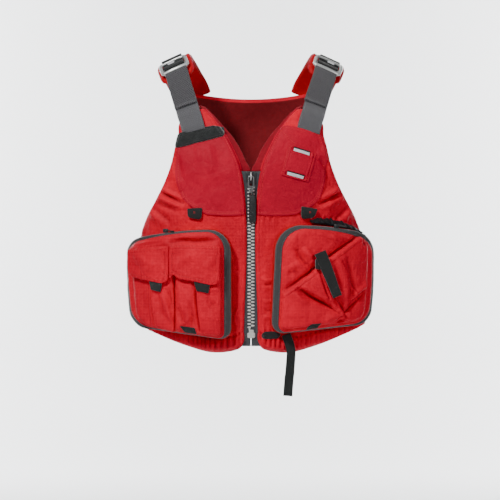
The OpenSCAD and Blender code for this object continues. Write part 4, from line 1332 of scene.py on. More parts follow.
def area_of(loop):
    x, y = loop[:, 0], loop[:, 1]
    return float(np.sum(x * np.roll(y, -1) - np.roll(x, -1) * y)) / 2


def inner_line(loop, distance):
    """A loop's path the distance inside it, evenly spaced."""
    turn = 1 if area_of(loop) > 0 else -1
    path = smooth_path(np.vstack([inset(loop, turn * distance), inset(loop, turn * distance)[:1]]), 1.5)
    return path


def seen_part(path, keep):
    """The kept points of a closed path, from one side of its widest gap to the other."""
    path = path[keep]
    cut = int(np.argmax(np.linalg.norm(np.diff(path, axis=0), axis=1))) + 1
    return np.roll(path, -cut, 0)


# ---------------------------------------------------------------- pockets
BASE_TOP, RIM, DOOR_FACE = 15.2, 22.4, 28.6
BAND_WIDTH = 11.8
POCKETS = {
    RIGHT: dict(
        door=[(-43, 14), (-189, 38), (-195.6, 170), (-43, 190)], radii=(11, 28, 22, 34),
        bulges=(0.5, 1.5, 3.0, 0),
        ring=[(-31.5, 12.2), (-195.8, 36.6), (-200.6, 173.2), (-32.0, 194.6)], ring_radii=(20, 30, 24, 42)),
    LEFT: dict(
        door=[(43.5, 24), (187, 41.5), (193, 175.6), (52, 197)], radii=(14, 24, 25, 42),
        bulges=(0.5, 1.5, 2.5, 0),
        ring=[(32.0, 21.6), (195.0, 40.4), (201.6, 181.6), (40.6, 202.2)], ring_radii=(22, 28, 31, 46)),
}
DOOR_FOLDS = {
    RIGHT: [
        (((-48, 174), (-70, 171), (-92, 170), (-112, 171), (-130, 167)), 4.6, -3.4),
        (((-150, 172), (-130, 179), (-100, 184), (-70, 184)), 5.0, 1.6),
        (((-186, 164), (-165, 166), (-140, 170)), 3.0, -1.2),
        (((-54, 150), (-50, 120), (-49, 80)), 2.6, -0.8),
    ],
    LEFT: [
        (((58, 150), (70, 158), (90, 160)), 6.0, -1.0),
        (((74, 160), (79, 148), (88, 136), (102, 128)), 4.2, -2.8),
        (((84, 162), (90, 152), (100, 146)), 5.0, 2.0), (((58, 116), (70, 122), (84, 112)), 5.0, -1.6),
        (((60, 126), (76, 134), (92, 128)), 6.0, 1.6), (((88, 154), (97, 145), (103, 136)), 3.6, 1.8),
        (((126, 146), (146, 158), (168, 172)), 4.5, 1.6),
        (((108, 186), (124, 180), (150, 168)), 5.0, 1.1), (((60, 180), (66, 160), (64, 140)), 7.0, 1.2),
        (((128, 187), (133, 176), (131, 164)), 3.0, 1.0),
        (((142, 187), (149, 176), (152, 166)), 3.0, -0.9), (((150, 186), (158, 178), (162, 172)), 2.6, 1.2),
    ],
}
DOOR_AT = {}
# The tool pouch's slanting mouth, as seen.
MOUTH = [(173, 175.8), (148, 158.6), (123.5, 141.4), (106.4, 127.0), (90, 114.6), (73.6, 102.7)]


def ring_loops(side):
    p = POCKETS[side]
    door = np.vstack([e[:-1] for e in four_sides(p["door"], p["radii"], p["bulges"], (70, 64))])
    ring = np.vstack([e[:-1] for e in four_sides(p["ring"], p["ring_radii"], p["bulges"], (70, 64))])
    s, z = sight(door[:, 0], door[:, 1], RIM)
    s2, z2 = sight(ring[:, 0], ring[:, 1], BASE_TOP)
    inner, outer = np.stack([s, z], 1), np.stack([s2, z2], 1)
    away = outer - inner
    wide = np.linalg.norm(away, axis=1, keepdims=True)
    return inner, inner + away * np.minimum(1, BAND_WIDTH / np.maximum(wide, 1e-6))


def flank_rise(s):
    """How much taller a pocket's wall is where it turns round the flank."""
    return 5.6 * ease((abs(phi_of(s)) - 46) / 12)


def closed_ring(name, rows, material):
    """A closed ring. Each row is a loop of places and its offsets, in order round the section."""
    verts = [at(loop[:, 0], loop[:, 1], out) for loop, out in rows]
    n = len(verts[0])
    run = np.concatenate([[0], np.cumsum(np.linalg.norm(np.diff(rows[0][0], axis=0), axis=1))])
    uv = [np.stack([np.full(n, 2.5 * k), run], 1) for k in range(len(rows))]
    faces = []
    for a in range(len(rows)):
        b = (a + 1) % len(rows)
        i = np.arange(n)
        j = (i + 1) % n
        faces.append(np.stack([a * n + i, a * n + j, b * n + j, b * n + i], 1))
    return new_object(name, np.vstack(verts), np.vstack(faces), np.vstack(uv) * MM, material)


def pocket_base(side):
    name = SIDES[side]
    _, loop = ring_loops(side)
    turn = 1 if area_of(loop) > 0 else -1

    def moved(d):
        return inset(loop, -turn * d)

    s, z = loop[:, 0], loop[:, 1]
    ripple = 0.7 * noise(s, z, 14, 81 + side)
    top = BASE_TOP + flank_rise(s)
    walls = [(moved(-0.4), top), (moved(0.6), top - 1.0), (moved(0.2 + ripple), 10.5 + 0.6 * flank_rise(s)),
             (moved(0.9 - ripple), 6.5 + 0 * s), (moved(0.6), 3.0 + 0 * s), (moved(1.8), -0.5 + 0 * s),
             (moved(1.5), -3.5 + 0 * s),
             (moved(-2.4), -3.5 + 0 * s), (moved(-2.6), 6 + 0 * s), (moved(-2.4), top - 0.3)]
    obj = closed_ring(f"pocket_wall_{name}", walls, MAT["cover_plain"])
    place(obj, f"front_{name}", "cover_red", f"pocket_base_{name}")
    p = POCKETS[side]
    s, z = patch(p["ring"], p["ring_radii"], p["bulges"], 4.0, 50, 44)
    crumple = 0.8 * noise(s, z, 30, 84 + side)
    floor = slab(f"pocket_floor_{name}", s, z, 3.8 + 0.6 * crumple, 0.9 + 0 * s, MAT["lining_black"])
    place(floor, f"front_{name}", "trim_black")
    # the closed zip's coil, half hidden between the wall and the band
    coil = moved(-1.6)
    points = at(coil[:, 0], coil[:, 1], top + 0.2)
    run = unit(np.roll(points, -1, 0) - np.roll(points, 1, 0))
    out = normal_at(coil[:, 0], coil[:, 1])
    verts, faces = closed_tube(points, np.cross(run, out), out, round_section(1.0, 8))
    coil_obj = new_object(f"pocket_coil_{name}", verts, faces, np.zeros((len(verts), 2)), MAT["tab"])
    place(coil_obj, f"front_{name}", "trim_black")


def pocket_band(side):
    """The grey band that carries the pocket's zip, sloping from the door's edge to the wall."""
    name = SIDES[side]
    inner, outer = ring_loops(side)
    wave = 0.25 * noise(inner[:, 0], inner[:, 1], 12, 91 + side)
    rows = []
    for t, h in ((-0.10, -0.6), (0.0, 0.4), (0.25, 0.9), (0.5, 1.0), (0.75, 0.9), (0.93, 0.55), (1.0, -0.1),
                 (0.97, -0.9), (0.5, -0.6), (0.0, -1.4)):
        loop = mix(inner, outer, t)
        rows.append((loop, mix(RIM - 0.2, BASE_TOP + 1.6 + flank_rise(outer[:, 0]), t) + h + wave))
    obj = closed_ring(f"pocket_band_{name}", rows, MAT["band"])
    place(obj, f"pocket_door_{name}", "zip_tape_grey", f"pocket_zip_{name}")
    for t in (0.14, 0.86):
        loop = mix(inner, outer, t)
        line = at(loop[:, 0], loop[:, 1], mix(RIM - 0.2, BASE_TOP + 1.6 + flank_rise(outer[:, 0]), t)
                  + 0.85 + wave)
        stitch(f"pocket_door_{name}", "grey", line, normal_at(loop[:, 0], loop[:, 1]), length=2.0, gap=0.8,
               radius=0.22)


def pocket_door(side):
    name = SIDES[side]
    p = POCKETS[side]
    s, z = patch(p["door"], p["radii"], p["bulges"], RIM, 110, 100)
    loop = loop_of(s, z)
    mouth = seen_path([(x - 1.6, z + 2.4) for x, z in [(181, 179)] + MOUTH + [(52, 88)]], DOOR_FACE)

    def height(s, z):
        d = edge_distance(s, z, loop)
        calm = ease(d / 12)
        h = DOOR_FACE + rounded(d, 9, DOOR_FACE - RIM) + calm * (0.9 * noise(s, z, 52, 101 + side)
                                                                 + 0.35 * noise(s, z, 19, 105 + side))
        h = h - 0.5 * hill(d - 2.8, 0.9) + calm * folds(s, z, DOOR_FOLDS[side], DOOR_FACE)
        if side == RIGHT:
            h = h - 5.5 * calm * (1 - ease((z - 138) / 14))
        if side == LEFT:
            m, way, along = path_distance(s, z, mouth)
            h = h - 5.5 * calm * ease((m * way - 7) / 8)
            h = h - np.sin(np.pi * along) ** 0.5 * (7.0 * hill(m, 3.0) + 2.0 * hill(m, 7.0))
        return h + (3.2 * ease((z - 150) / 10) * (1 - ease((z - 166) / 14)) * calm if side == RIGHT else 0)

    DOOR_AT[side] = height
    top = height(s, z)
    d = edge_distance(s, z, loop)
    low = np.minimum(19.9 + 5.5 * ease((d - 4) / 10), top - 1.6)
    obj = slab(f"pocket_door_{name}_cloth", s, z, top, low, MAT["cover"], walls=2)
    place(obj, f"pocket_door_{name}", "cover_red", f"pocket_door_{name}", fill=0.5)
    path = inner_line(loop, 3.2)
    stitch_path(f"pocket_door_{name}", "red", seen_part(path, abs(path[:, 0]) < s_of(46.0)), height,
                length=2.6, gap=1.2, radius=0.28)


POUCH_FACE, POUCH_MOST, FLAP_IN = 33.0, 37.4, 37.9
POUCHES = {
    "outer": dict(corners=[(-123.5, 24.5), (-185, 39.5), (-192.6, 158), (-126, 164.5)], radii=(5, 22, 3, 3),
                  bulges=(0, 1, 0, 0)),
    "inner": dict(corners=[(-47.5, 17.5), (-122.5, 25.5), (-122.5, 164.5), (-48.5, 163.5)],
                  radii=(8, 5, 3, 3), bulges=(0, 0, 0, 0)),
}


def cargo_pouches():
    def outer(s, z):
        h = overlap(s, z, [(-157.5, 112), (-157.8, 77), (-155.5, 55), (-151.0, 26)], 2.6, 12, POUCH_FACE,
                    1.8, gap=2.8)
        h = h + overlap(s, z, [(-162.5, 112), (-162.8, 77), (-161.5, 55), (-158.0, 26)], 1.2, 16,
                        POUCH_FACE, 0.8, gap=1.2)
        h = h + folds(s, z, [
            (((-144, 96), (-133, 66), (-118, 30)), 5.0, 2.4),
            (((-136, 96), (-128, 72), (-124, 50)), 4.6, -3.2),
            (((-148, 92), (-146, 66), (-140, 40)), 5.0, -1.2),
            (((-182, 100), (-180, 70), (-176, 44)), 7.0, 1.0),
            (((-172, 104), (-170, 76), (-168, 50)), 6.0, -0.8)], POUCH_FACE)
        return h

    def inner(s, z):
        h = overlap(s, z, [(-88.0, 108), (-86.9, 87), (-85.0, 60), (-80.5, 26)], 3.2, 24, POUCH_FACE, 3.6,
                    gap=2.6)
        h = h + folds(s, z, [
            (((-78, 98), (-77, 70), (-74, 44)), 6.0, 1.6),
            (((-118, 112), (-112, 80), (-108, 44)), 6.0, 1.3),
            (((-100, 104), (-101, 76), (-98, 48)), 6.5, 1.0), (((-66, 90), (-56, 96), (-50, 92)), 4.0, 1.2),
            (((-70, 78), (-60, 68), (-54, 58)), 4.0, -1.2), (((-66, 60), (-62, 50), (-52, 44)), 5.0, 0.9),
            (((-122, 27), (-108, 40), (-94, 52)), 4.0, 2.2), (((-98, 76), (-94, 52), (-91, 32)), 3.4, -2.2),
            (((-116, 66), (-111, 48), (-104, 36)), 4.0, -2.0)], POUCH_FACE)
        return h

    relief = {"outer": outer, "inner": inner}
    surfaces = {}
    for k, (key, p) in enumerate(POUCHES.items()):
        s, z = patch(p["corners"], p["radii"], p["bulges"], POUCH_FACE, 90, 110)
        loop = loop_of(s, z)

        def height(s, z, loop=loop, key=key, k=k):
            d = edge_distance(s, z, loop)
            calm = ease(d / 9)
            h = POUCH_FACE + rounded(d, 5.5, 4.2) + calm * (0.7 * noise(s, z, 40, 111 + k)
                                                            + 0.35 * noise(s, z, 14, 115 + k) + 0.6)
            h = h + ease(d / 5) * relief[key](s, z)
            return np.minimum(h, POUCH_MOST - 0.4 * np.exp(-np.maximum(h - POUCH_MOST + 0.8, 0)))

        surfaces[key] = height
        low = np.minimum(DOOR_AT[RIGHT](s, z) - 1.2, height(s, z) - 1.4)
        obj = slab(f"cargo_pouch_{key}", s, z, height(s, z), low, MAT["cover"], walls=2)
        place(obj, "pocket_door_right", "cover_red", *(["cargo_pouches"] if key == "outer" else []))
        path = inner_line(loop, 2.2)
        stitch_path("pocket_door_right", "red",
                    seen_part(path, (path[:, 1] < 104) & (abs(path[:, 0]) < s_of(46.0))), height,
                    length=2.4, gap=1.2, radius=0.26)
    return surfaces


FLAPS = {
    "outer": dict(corners=[(-132.6, 101.0), (-195.8, 116), (-197.4, 157.2), (-132.0, 163.6)],
                  radii=(15, 5, 2, 2),
                  bulges=(0.6, 0.5, [(-180, 159.3), (-160, 161.2), (-146, 162.6)], 0), flat=(0.081, 0.060),
                  folds=[(((-186, 150), (-170, 140), (-152, 132)), 6.0, 1.2),
                         (((-176, 120), (-160, 126), (-140, 140)), 7.0, 1.1),
                         (((-192, 138), (-180, 128), (-172, 116)), 5.0, -0.8),
                         (((-140, 158), (-137, 144), (-138, 128)), 5.0, -1.2),
                         (((-160, 156), (-158, 140), (-162, 122)), 6.0, 0.8)]),
    "inner": dict(corners=[(-51.2, 99.5), (-131.3, 112), (-131.5, 163.9), (-49.6, 162.2)],
                  radii=(12, 2, 2, 3),
                  bulges=([(-66, 101.2), (-91, 106.6), (-112, 110.4), (-118.5, 112.6), (-124.5, 117.4)], 0,
                          [(-118, 164.9), (-90, 165.4), (-64, 164.2)], 0),
                  flat=(0.082, 0.062),
                  folds=[(((-124, 124), (-108, 140), (-92, 150)), 6.0, 1.3),
                         (((-56, 156), (-62, 140), (-74, 128)), 5.0, 1.0),
                         (((-114, 156), (-110, 140), (-112, 122)), 6.0, -0.8),
                         (((-90, 160), (-86, 140), (-84, 118)), 7.0, 0.9),
                         (((-56, 112), (-60, 130), (-56, 150)), 4.0, -0.7),
                         (((-76, 108), (-70, 124), (-72, 140)), 5.0, 0.7)]),
}


def pouch_flap(key):
    p = FLAPS[key]
    s, z = patch(p["corners"], p["radii"], p["bulges"], FLAP_IN + 2, 90, 80)
    loop = loop_of(s, z)
    body = f"flap_{key}"
    seed = len(key) + (3 if key == "outer" else 0)

    def height(s, z):
        d = edge_distance(s, z, loop)
        hem = 0.7 * (1 - ease((d - 5.2) / 1.4)) - 0.6 * hill(d - 5.6, 0.8)
        calm = ease(d / 8)
        h = FLAP_IN + 2.3 + hem + calm * (1.1 + 0.7 * noise(s, z, 34, 121 + seed)
                                          + 0.4 * noise(s, z, 12, 125 + seed))
        h = h + calm * folds(s, z, p["folds"], FLAP_IN + 2)
        pucker = 0.35 * np.sin(s * 2 * math.pi / 4.6 + 2 * noise(s, z, 12, 8)) * (1 - ease((d - 3) / 5))
        return np.maximum(h + pucker + rounded(d, 1.2, 0.7), FLAP_IN + 1.2)

    top = height(s, z)
    obj = slab(f"flap_{key}_cloth", s, z, top, top - 1.2, MAT["cover"])
    place(obj, body, "cover_red", f"flap_{key}")
    path = inner_line(loop, 4.6)
    seen_low = path[:, 1] < 152
    stitch_path(body, "dark", path[seen_low], height, length=2.4, gap=1.4, radius=0.26)
    seam = inner_line(loop, 2.4)
    stitch_path(body, "red", seam[seam[:, 1] > 152], height, length=2.4, gap=1.2, radius=0.26)
    return obj


def right_pocket():
    pocket_base(RIGHT)
    pocket_band(RIGHT)
    pocket_door(RIGHT)
    surfaces = cargo_pouches()
    made = {key: pouch_flap(key) for key in FLAPS}
    tabs = {"outer": [(-144.5, 89.5), (-160.0, 93.5), (-162.6, 108), (-142.0, 106)],
            "inner": [(-68, 87.6), (-87, 91.5), (-91.5, 108), (-65.5, 104.5)]}
    for key, corners in tabs.items():
        base = FLAP_IN + 0.1
        tab(f"flap_tab_{key}_webbing", f"flap_{key}", corners, lambda s, z: base + 0 * s, 1.5,
            f"flap_tab_{key}", crown=0.5, out=base)
    inner = surfaces["inner"]
    tab("pocket_tab_right_webbing", "pocket_door_right",
        [(-87.5, 21.5), (-107, 24.5), (-113.5, 35.5), (-90.5, 32.5)],
        lambda s, z: inner(s, z) + 0.2, 1.5, "pocket_tab_right", crown=0.6)


TOOL_FACE = 32.6


def tool_pouch():
    s, z = patch([(47.5, 28.5), (183.5, 44), (189.6, 170), (50.5, 87)], (12, 18, 8, 3),
                 (0, 1, [(181, 177.2)] + MOUTH, 0), TOOL_FACE, 120, 110)
    loop = loop_of(s, z)
    mouth = seen_path([(184, 179)] + MOUTH + [(50, 86)], TOOL_FACE)

    def height(s, z):
        d = edge_distance(s, z, loop)
        m, _, along = path_distance(s, z, mouth)
        calm = ease(d / 10)
        h = TOOL_FACE + rounded(d, 6, 4.6) + calm * (0.8 * noise(s, z, 46, 131)
                                                     + 0.35 * noise(s, z, 16, 133) + 0.4)
        h = h - 1.6 * hill(m, 14) * (1 - 1.4 * hill(along - 0.40, 0.16))
        h = h + ease(d / 4) * folds(s, z, [
            (((110, 127), (116, 112), (124, 96), (134, 76)), 4.6, 2.6),
            (((120, 124), (126, 106), (134, 86), (147, 56)), 4.6, -4.4),
            (((72, 95), (92, 84), (114, 74), (140, 62)), 5.4, -4.2),
            (((84, 98), (102, 90), (122, 78)), 5.0, 1.6),
            (((76, 103), (104, 84), (126, 70), (146, 54)), 3.4, 1.4),
            (((146, 152), (156, 122), (164, 98), (173, 80)), 3.6, 1.8),
            (((138, 146), (146, 120), (152, 96), (152, 62)), 5.5, 2.0),
            (((152, 146), (160, 120), (163, 92), (156, 66)), 4.8, -3.6),
            (((186, 95), (172, 82), (158, 66), (148, 56)), 4.2, -3.8),
            (((190, 106), (178, 94), (166, 80)), 4.5, 1.5),
            (((132, 140), (138, 116), (144, 92)), 3.6, -1.4),
            (((152, 52), (144, 42), (130, 33)), 3.8, -3.0),
            (((140, 60), (146, 50), (158, 44)), 3.6, 1.4), (((70, 90), (80, 78), (92, 72)), 4.0, 1.6),
            (((60, 60), (74, 52), (92, 52)), 9.0, 1.0), (((120, 36), (126, 48), (140, 54)), 4.0, 1.3)],
            TOOL_FACE)
        pleats = [
            ([(125, 76), (119.5, 88), (112.5, 107.5), (107.5, 124)], 2.6, 13, 1.8),
            ([(80, 96), (102, 82.5), (127, 68.6), (149, 49)], 2.4, 18, 1.8),
            ([(174, 77), (160.5, 107), (144, 141)], 2.2, 12, 1.2),
            ([(130, 41), (160, 66), (182, 88)], 2.2, 12, 1.5),
            ([(152, 48), (146, 62), (138.5, 80)], 1.6, 8, 1.6)]
        for path, tall, reach, low in pleats:
            h = h + calm * overlap(s, z, path, tall, reach, TOOL_FACE, low, gap=1.6)
        h = h + 0.6 * hill(m - 3.4, 2.2) - 0.5 * hill(m - 6.6, 0.9)
        return np.minimum(h, POUCH_MOST - 0.4 * np.exp(-np.maximum(h - POUCH_MOST + 0.8, 0)))

    top = height(s, z)
    m = path_distance(s, z, mouth)[0]
    low = np.minimum(DOOR_AT[LEFT](s, z) - 1.2 + 3.0 * hill(m, 8), top - 1.4)
    obj = slab("tool_pouch_cloth", s, z, top, low, MAT["cover"], walls=2)
    place(obj, "pocket_door_left", "cover_red", "tool_pouch")
    stitch_path("pocket_door_left", "red", seen_path([(168, 168.5)]
                                                     + [(x + 2.6, z - 4.4) for x, z in MOUTH[1:]],
                                                     TOOL_FACE), height,
                length=2.4, gap=1.3, radius=0.26)
    return height


def tool_strap():
    base = POUCH_MOST + 1.0
    s, z = ribbon([(110.4, 153.4), (115.5, 141), (124, 118), (131, 100), (138.2, 82.5)],
                  [18.6, 18.6, 18.0, 16.4, 14.6, 14.6], base, 70, 22)
    t = (z.max() - z) / (z.max() - z.min())
    lift = 1.6 * np.sin(np.pi * np.clip((t - 0.15) / 0.8, 0, 1)) + 0.4 * noise(s, z, 18, 141)
    loop = loop_of(s, z)
    top = base + 1.7 + lift + rounded(edge_distance(s, z, loop), 1.2, 0.9)
    obj = slab("tool_strap_webbing", s, z, top, base + lift * 0.9, MAT["tab"])
    place(obj, "tool_strap", "trim_black", "tool_strap")
    for k in (2.0, 15.0):
        line_s, line_z = ribbon([(109, 156.4 - k), (113.6, 156.4 - k)], [1, 1], base, 2, 2)
        path = np.array([[line_s[0, 0] - 6, line_z[0, 0]], [line_s[-1, -1] + 6, line_z[-1, -1]]])
        stitch_path("tool_strap", "black", smooth_path(path, 1.0), lambda a, b: base + 2.0 + 0 * a,
                    length=2.0, gap=0.9, radius=0.24)
    under = ribbon([(108.6, 142), (108.4, 126)], [9, 9], base - 1.6, 20, 10)
    obj = slab("tool_strap_anchor", *under, base - 0.8 + 0 * under[0], base - 5.5 + 0 * under[0],
               MAT["tab"])
    place(obj, "pocket_door_left", "trim_black")


def zip_garage():
    """The crumpled black sleeve over the left pocket's zip, above its band."""
    t = np.linspace(0, 1, 90)[:, None]
    v = np.linspace(0, 1, 16)[None]
    x = mix(98, 181, t) + 0 * v
    top_line = mix(202.6, 186.0, t) + 2.4 * np.sin(np.pi * t)
    ruffle = 1.4 * np.sin(t * 44 + 2.0 * np.sin(t * 17)) + 0.9 * np.sin(t * 91)
    tall = 8.6 * np.sin(np.pi * np.clip(t, 0, 1)) ** 0.5 + ruffle * np.sin(np.pi * t) ** 0.5
    s, z = sight(x, top_line - 2.2 + v * (tall + 2.4), 14.0)
    crumple = 1.5 * noise(s, z, 7, 151, 3) + 1.2 * np.sin(t * 60 + 3 * v)
    out = 12.4 + 1.2 * np.sin(np.pi * v) - 8.0 * v**2 + 0.8 * crumple * np.sin(np.pi * t) ** 0.5
    obj = slab("pocket_zip_sleeve", s, z, out, out - 3.5, MAT["lining_black"])
    place(obj, "front_left", "trim_black")


def pocket_slider(side):
    name = SIDES[side]
    s, z = sight(side * 138.0, 188.0 if side == RIGHT else 195.5, 20)
    middle, out = at(s, z, 17.6), normal_at(s, z)
    run = unit(at(s + 1, z, 17.6) - at(s, z, 17.6))
    up = np.cross(out, run)
    parts = [bar_part(middle - run * 4.5, middle + run * 4.5, 6.4, 4.2, out, 1.4),
             bar_part(middle - run * 2.5 + out * 2.4, middle + run * 2.5 + out * 2.4, 2.6, 1.6, out, 0.6)]
    place(merge(f"pocket_slider_{name}_body", parts, MAT["dark_metal"]), f"pocket_slider_{name}",
          "trim_black", f"pocket_slider_{name}")
    points = [middle + out * 3.0 + run * 2.0, middle + out * 3.4 + run * 6,
              middle + out * 2.6 + run * 10 - up * 0.6, middle + out * 2.0 + run * 14 - up * 1.2]
    cord = merge(f"pocket_slider_{name}_pull",
                 [tube_part(points, 1.3, hint=up),
                  box_part(points[-1], (7, 2.6, 3.0), 1.0, [run, out, up])], MAT["tab"])
    place(cord, f"pocket_slider_{name}", "trim_black")


def left_pocket():
    pocket_base(LEFT)
    pocket_band(LEFT)
    pocket_door(LEFT)
    pouch = tool_pouch()
    tool_strap()
    zip_garage()
    tab("pocket_tab_left_webbing", "pocket_door_left",
        [(88.5, 29.2), (107, 31.5), (114.5, 39.6), (97, 38.2)],
        lambda s, z: pouch(s, z) + 0.2, 1.5, "pocket_tab_left", crown=0.6)


right_pocket()
left_pocket()
for side in SIDES:
    pocket_slider(side)


# ---------------------------------------------------------------- chest fittings and strap keeper
def lash_tab(side):
    name = SIDES[side]
    corners = {RIGHT: [(-80, 205.5), (-101.5, 208.5), (-102.5, 223.5), (-78.5, 224.5)],
               LEFT: [(80.5, 206.5), (101.5, 208.5), (107, 222.5), (81, 227)]}[side]
    base = COVER_AT[side]
    surface = tab(f"lash_tab_{name}_webbing", f"front_{name}", corners, lambda s, z: base(s, z) + 2.6, 2.2,
                  f"lash_tab_{name}", crown=1.2,
                  radii=(5, 5, 2, 2), out=4.0)
    middle = (corners[2][0] + corners[3][0]) / 2
    for k in range(2):
        x = middle + (k - 0.5) * 1.8
        path = seen_path([(x, 215.5), (x, 219.0)], 4.0, 1.0)
        stitch_path(f"front_{name}", "red", path, surface, length=1.2, gap=0.2, radius=0.5)


def lash_plate():
    base = COVER_AT[LEFT]
    corners = [(47, 277), (93, 265), (106, 312), (60, 326)]
    s, z = patch(corners, (3, 3, 3, 3), (0, 0, 0, 0), 4.0, 60, 60, 0.2)
    loop = loop_of(s, z)
    slits = [seen_path([(58.6, 279.8), (84.5, 272.6)], 5.0, 1.0),
             seen_path([(69.0, 317.0), (94.0, 309.6)], 5.0, 1.0)]

    def height(s, z):
        d = edge_distance(s, z, loop)
        h = base(s, z) + 3.0 + rounded(d, 1.2, 0.8) - 0.5 * hill(d - 3.4, 0.6) + 0.5 * ease((d - 3) / 8)
        for slit in slits:
            far = path_distance(s, z, slit)[0]
            h = h - 1.3 * np.exp(-((far / 3.4) ** 4)) + 0.8 * hill(far - 5.0, 1.2)
        for ridge in (((52.5, 283), (62.5, 319)), ((89.0, 273.5), (98.5, 308))):
            h = h + 0.7 * np.exp(-((path_distance(s, z, seen_path(ridge, 5.0, 2.0))[0] / 1.5) ** 2))
        return h

    obj = slab("lash_plate_cloth", s, z, height(s, z), base(s, z) + 1.4, MAT["yoke"])
    place(obj, "front_left", "yoke_red", "lash_plate")
    stitch_path("front_left", "red", inner_line(loop, 3.0), height, length=2.2, gap=1.0, radius=0.28)
    for k, slit in enumerate(slits):
        along = slit[-1] - slit[0]
        middle = slit.mean(0)
        t = np.linspace(-0.5, 0.5, 30)[None]
        v = np.linspace(-0.5, 0.5, 10)[:, None]
        up = unit(np.array([-along[1], along[0]]))
        gs, gz = middle[0] + along[0] * t + up[0] * v * 4.6, middle[1] + along[1] * t + up[1] * v * 4.6
        top = height(gs, gz) + 1.1 + 0.3 * np.cos(v * math.pi)
        bar = slab(f"lash_bar_{k + 1}", gs, gz, top, top - 1.6, MAT["reflect"])
        place(bar, "front_left", "buckle_silver")
        # painted shadow: a black strip along each bar's upper side stands for the shade inside the slit
        gs, gz = (middle[0] + along[0] * t * 1.04 + up[0] * (v * 1.6 + 3.2),
                  middle[1] + along[1] * t * 1.04 + up[1] * (v * 1.6 + 3.2))
        top = height(gs, gz) + 0.9
        edge = slab(f"lash_slit_shadow_{k + 1}", gs, gz, top, top - 1.2, MAT["tab"])
        place(edge, "front_left", "trim_black")


def loop_strip():
    base = COVER_AT[RIGHT]
    s, z = patch([(-43, 339.5), (-123, 319.5), (-118.5, 343), (-43, 356)], (4, 5, 6, 6),
                 ([(-70, 332.5), (-90, 327.5), (-108, 322.8)], 0, [(-104, 346.5), (-85, 352), (-65, 354.6)],
                  0), 3.0, 70, 40)
    loop = loop_of(s, z)

    def height(s, z):
        d = edge_distance(s, z, loop)
        return (base(s, z) + 4.6 + rounded(d, 1.8, 1.4) + 0.35 * noise(s, z, 8, 161, 3)
                - 0.3 * hill(d - 3.0, 0.6))

    obj = slab("loop_strip_pile", s, z, height(s, z), base(s, z) + 1.5, MAT["fuzzy"])
    place(obj, "front_right", "trim_black", "loop_strip")
    stitch_path("front_right", "black", inner_line(loop, 2.8), height, length=2.0, gap=1.0, radius=0.24)


def strap_keeper():
    base = COVER_AT[LEFT]
    s, z = patch([(16, 14.5), (46, 15.5), (48.5, 25.5), (18, 26.5)], (6, 5, 5, 7), (0.6, 0.4, 0.6, 0.6),
                 4.0, 44, 22)
    loop = loop_of(s, z)

    def height(s, z):
        d = edge_distance(s, z, loop)
        return np.maximum(base(s, z), 0.5) + 2.4 + rounded(d, 4.0, 2.2) + 0.4 * noise(s, z, 9, 171)

    obj = slab("strap_keeper_elastic", s, z, height(s, z), base(s, z) - 1.0, MAT["tab"])
    place(obj, "front_left", "trim_black", "strap_keeper")


for side in SIDES:
    lash_tab(side)
lash_plate()
loop_strip()
strap_keeper()


# ---------------------------------------------------------------- sides
STRAP_Z, STRAP_PHI = (62.0, 146.0), (84.0, 128.0)


def side_fittings(side):
    name = SIDES[side]
    phi = side * np.linspace(83.5, 104.0, 24)[None]
    z = np.linspace(38, 185, 60)[:, None]
    s = s_of(phi) + 0 * z
    z = z + 0 * s
    ribs = 0.5 * np.sin(z * 2 * math.pi / 9) + 0.6 * noise(s, z, 26, 181)
    top = -30.8 + ribs
    obj = slab(f"side_panel_{name}_stretch", s, z, top, top - 2.4, MAT["mesh"])
    place(obj, "back", "mesh_black", f"side_panel_{name}")
    for k, height in enumerate(STRAP_Z):
        t = np.linspace(0, 1, 60)
        phi = mix(STRAP_PHI[0], STRAP_PHI[1], t)
        rise = mix(-5.6, -25.0, t) + 1.2 * np.sin(np.pi * t)
        centre = torso(side * phi, height + 0 * t, rise)
        out = unit(torso(side * phi, height + 0 * t, rise + 1) - centre)
        up = np.tile([0, 0, 1.0], (60, 1))
        web = sweep(f"side_strap_{name}_{k + 1}", centre, up, out,
                    lambda q: strip_section(20, 1.8, 0.3, 14), MAT["black_web"])
        place(web, "back", "webbing_black", *(["side_straps"] if k == 0 and side == RIGHT else []))
        # the buckle at the front panel's edge
        middle = torso(side * 73.5, height, 3.0)
        normal = unit(torso(side * 73.5, height, 4.0) - middle)
        run = unit(torso(side * 74.5, height, 3.0) - middle)
        rise_up = np.array([0, 0, 1.0])
        parts = []
        for v in (-12.2, 12.2):
            parts.append(bar_part(middle - run * 8.5 + rise_up * v, middle + run * 8.5 + rise_up * v, 2.6,
                                  3.4, normal))
        for u in (-8.2, 0.0, 8.2):
            parts.append(bar_part(middle + run * u - rise_up * 13, middle + run * u + rise_up * 13, 2.8,
                                  3.2 if u else 2.4, normal))
        buckle = merge(f"side_buckle_{name}_{k + 1}", parts, MAT["black"])
        place(buckle, f"front_{name}", "trim_black", *([f"side_buckles_{name}"] if k == 0 else []))
        reach = [(60.5, -0.3, 0), (66, 0.8, 0), (72.3, 1.6, 0), (74.0, 4.6, 0), (72.0, 6.0, 0),
                 (66, 4.0, -1), (61, 2.9, -3), (57, 2.8, -6)]
        line = smooth_path([torso(side * p, height + dz, 1.0 + o) for p, o, dz in reach], 1.2)
        across, outw = frames_along(line, (0, 0, 1))
        web = sweep(f"side_tail_{name}_{k + 1}", line, across, outw,
                    lambda q: strip_section(19, 1.5, 0, 14) - [0, 0.7], MAT["black_web"])
        place(web, f"front_{name}", "webbing_black")


# ---------------------------------------------------------------- back
BACK_Z, BACK_PHI = (214, 240, 270, 305, 340, 375, 405, 426), (60, 60, 57, 52, 49, 48, 50, 51)


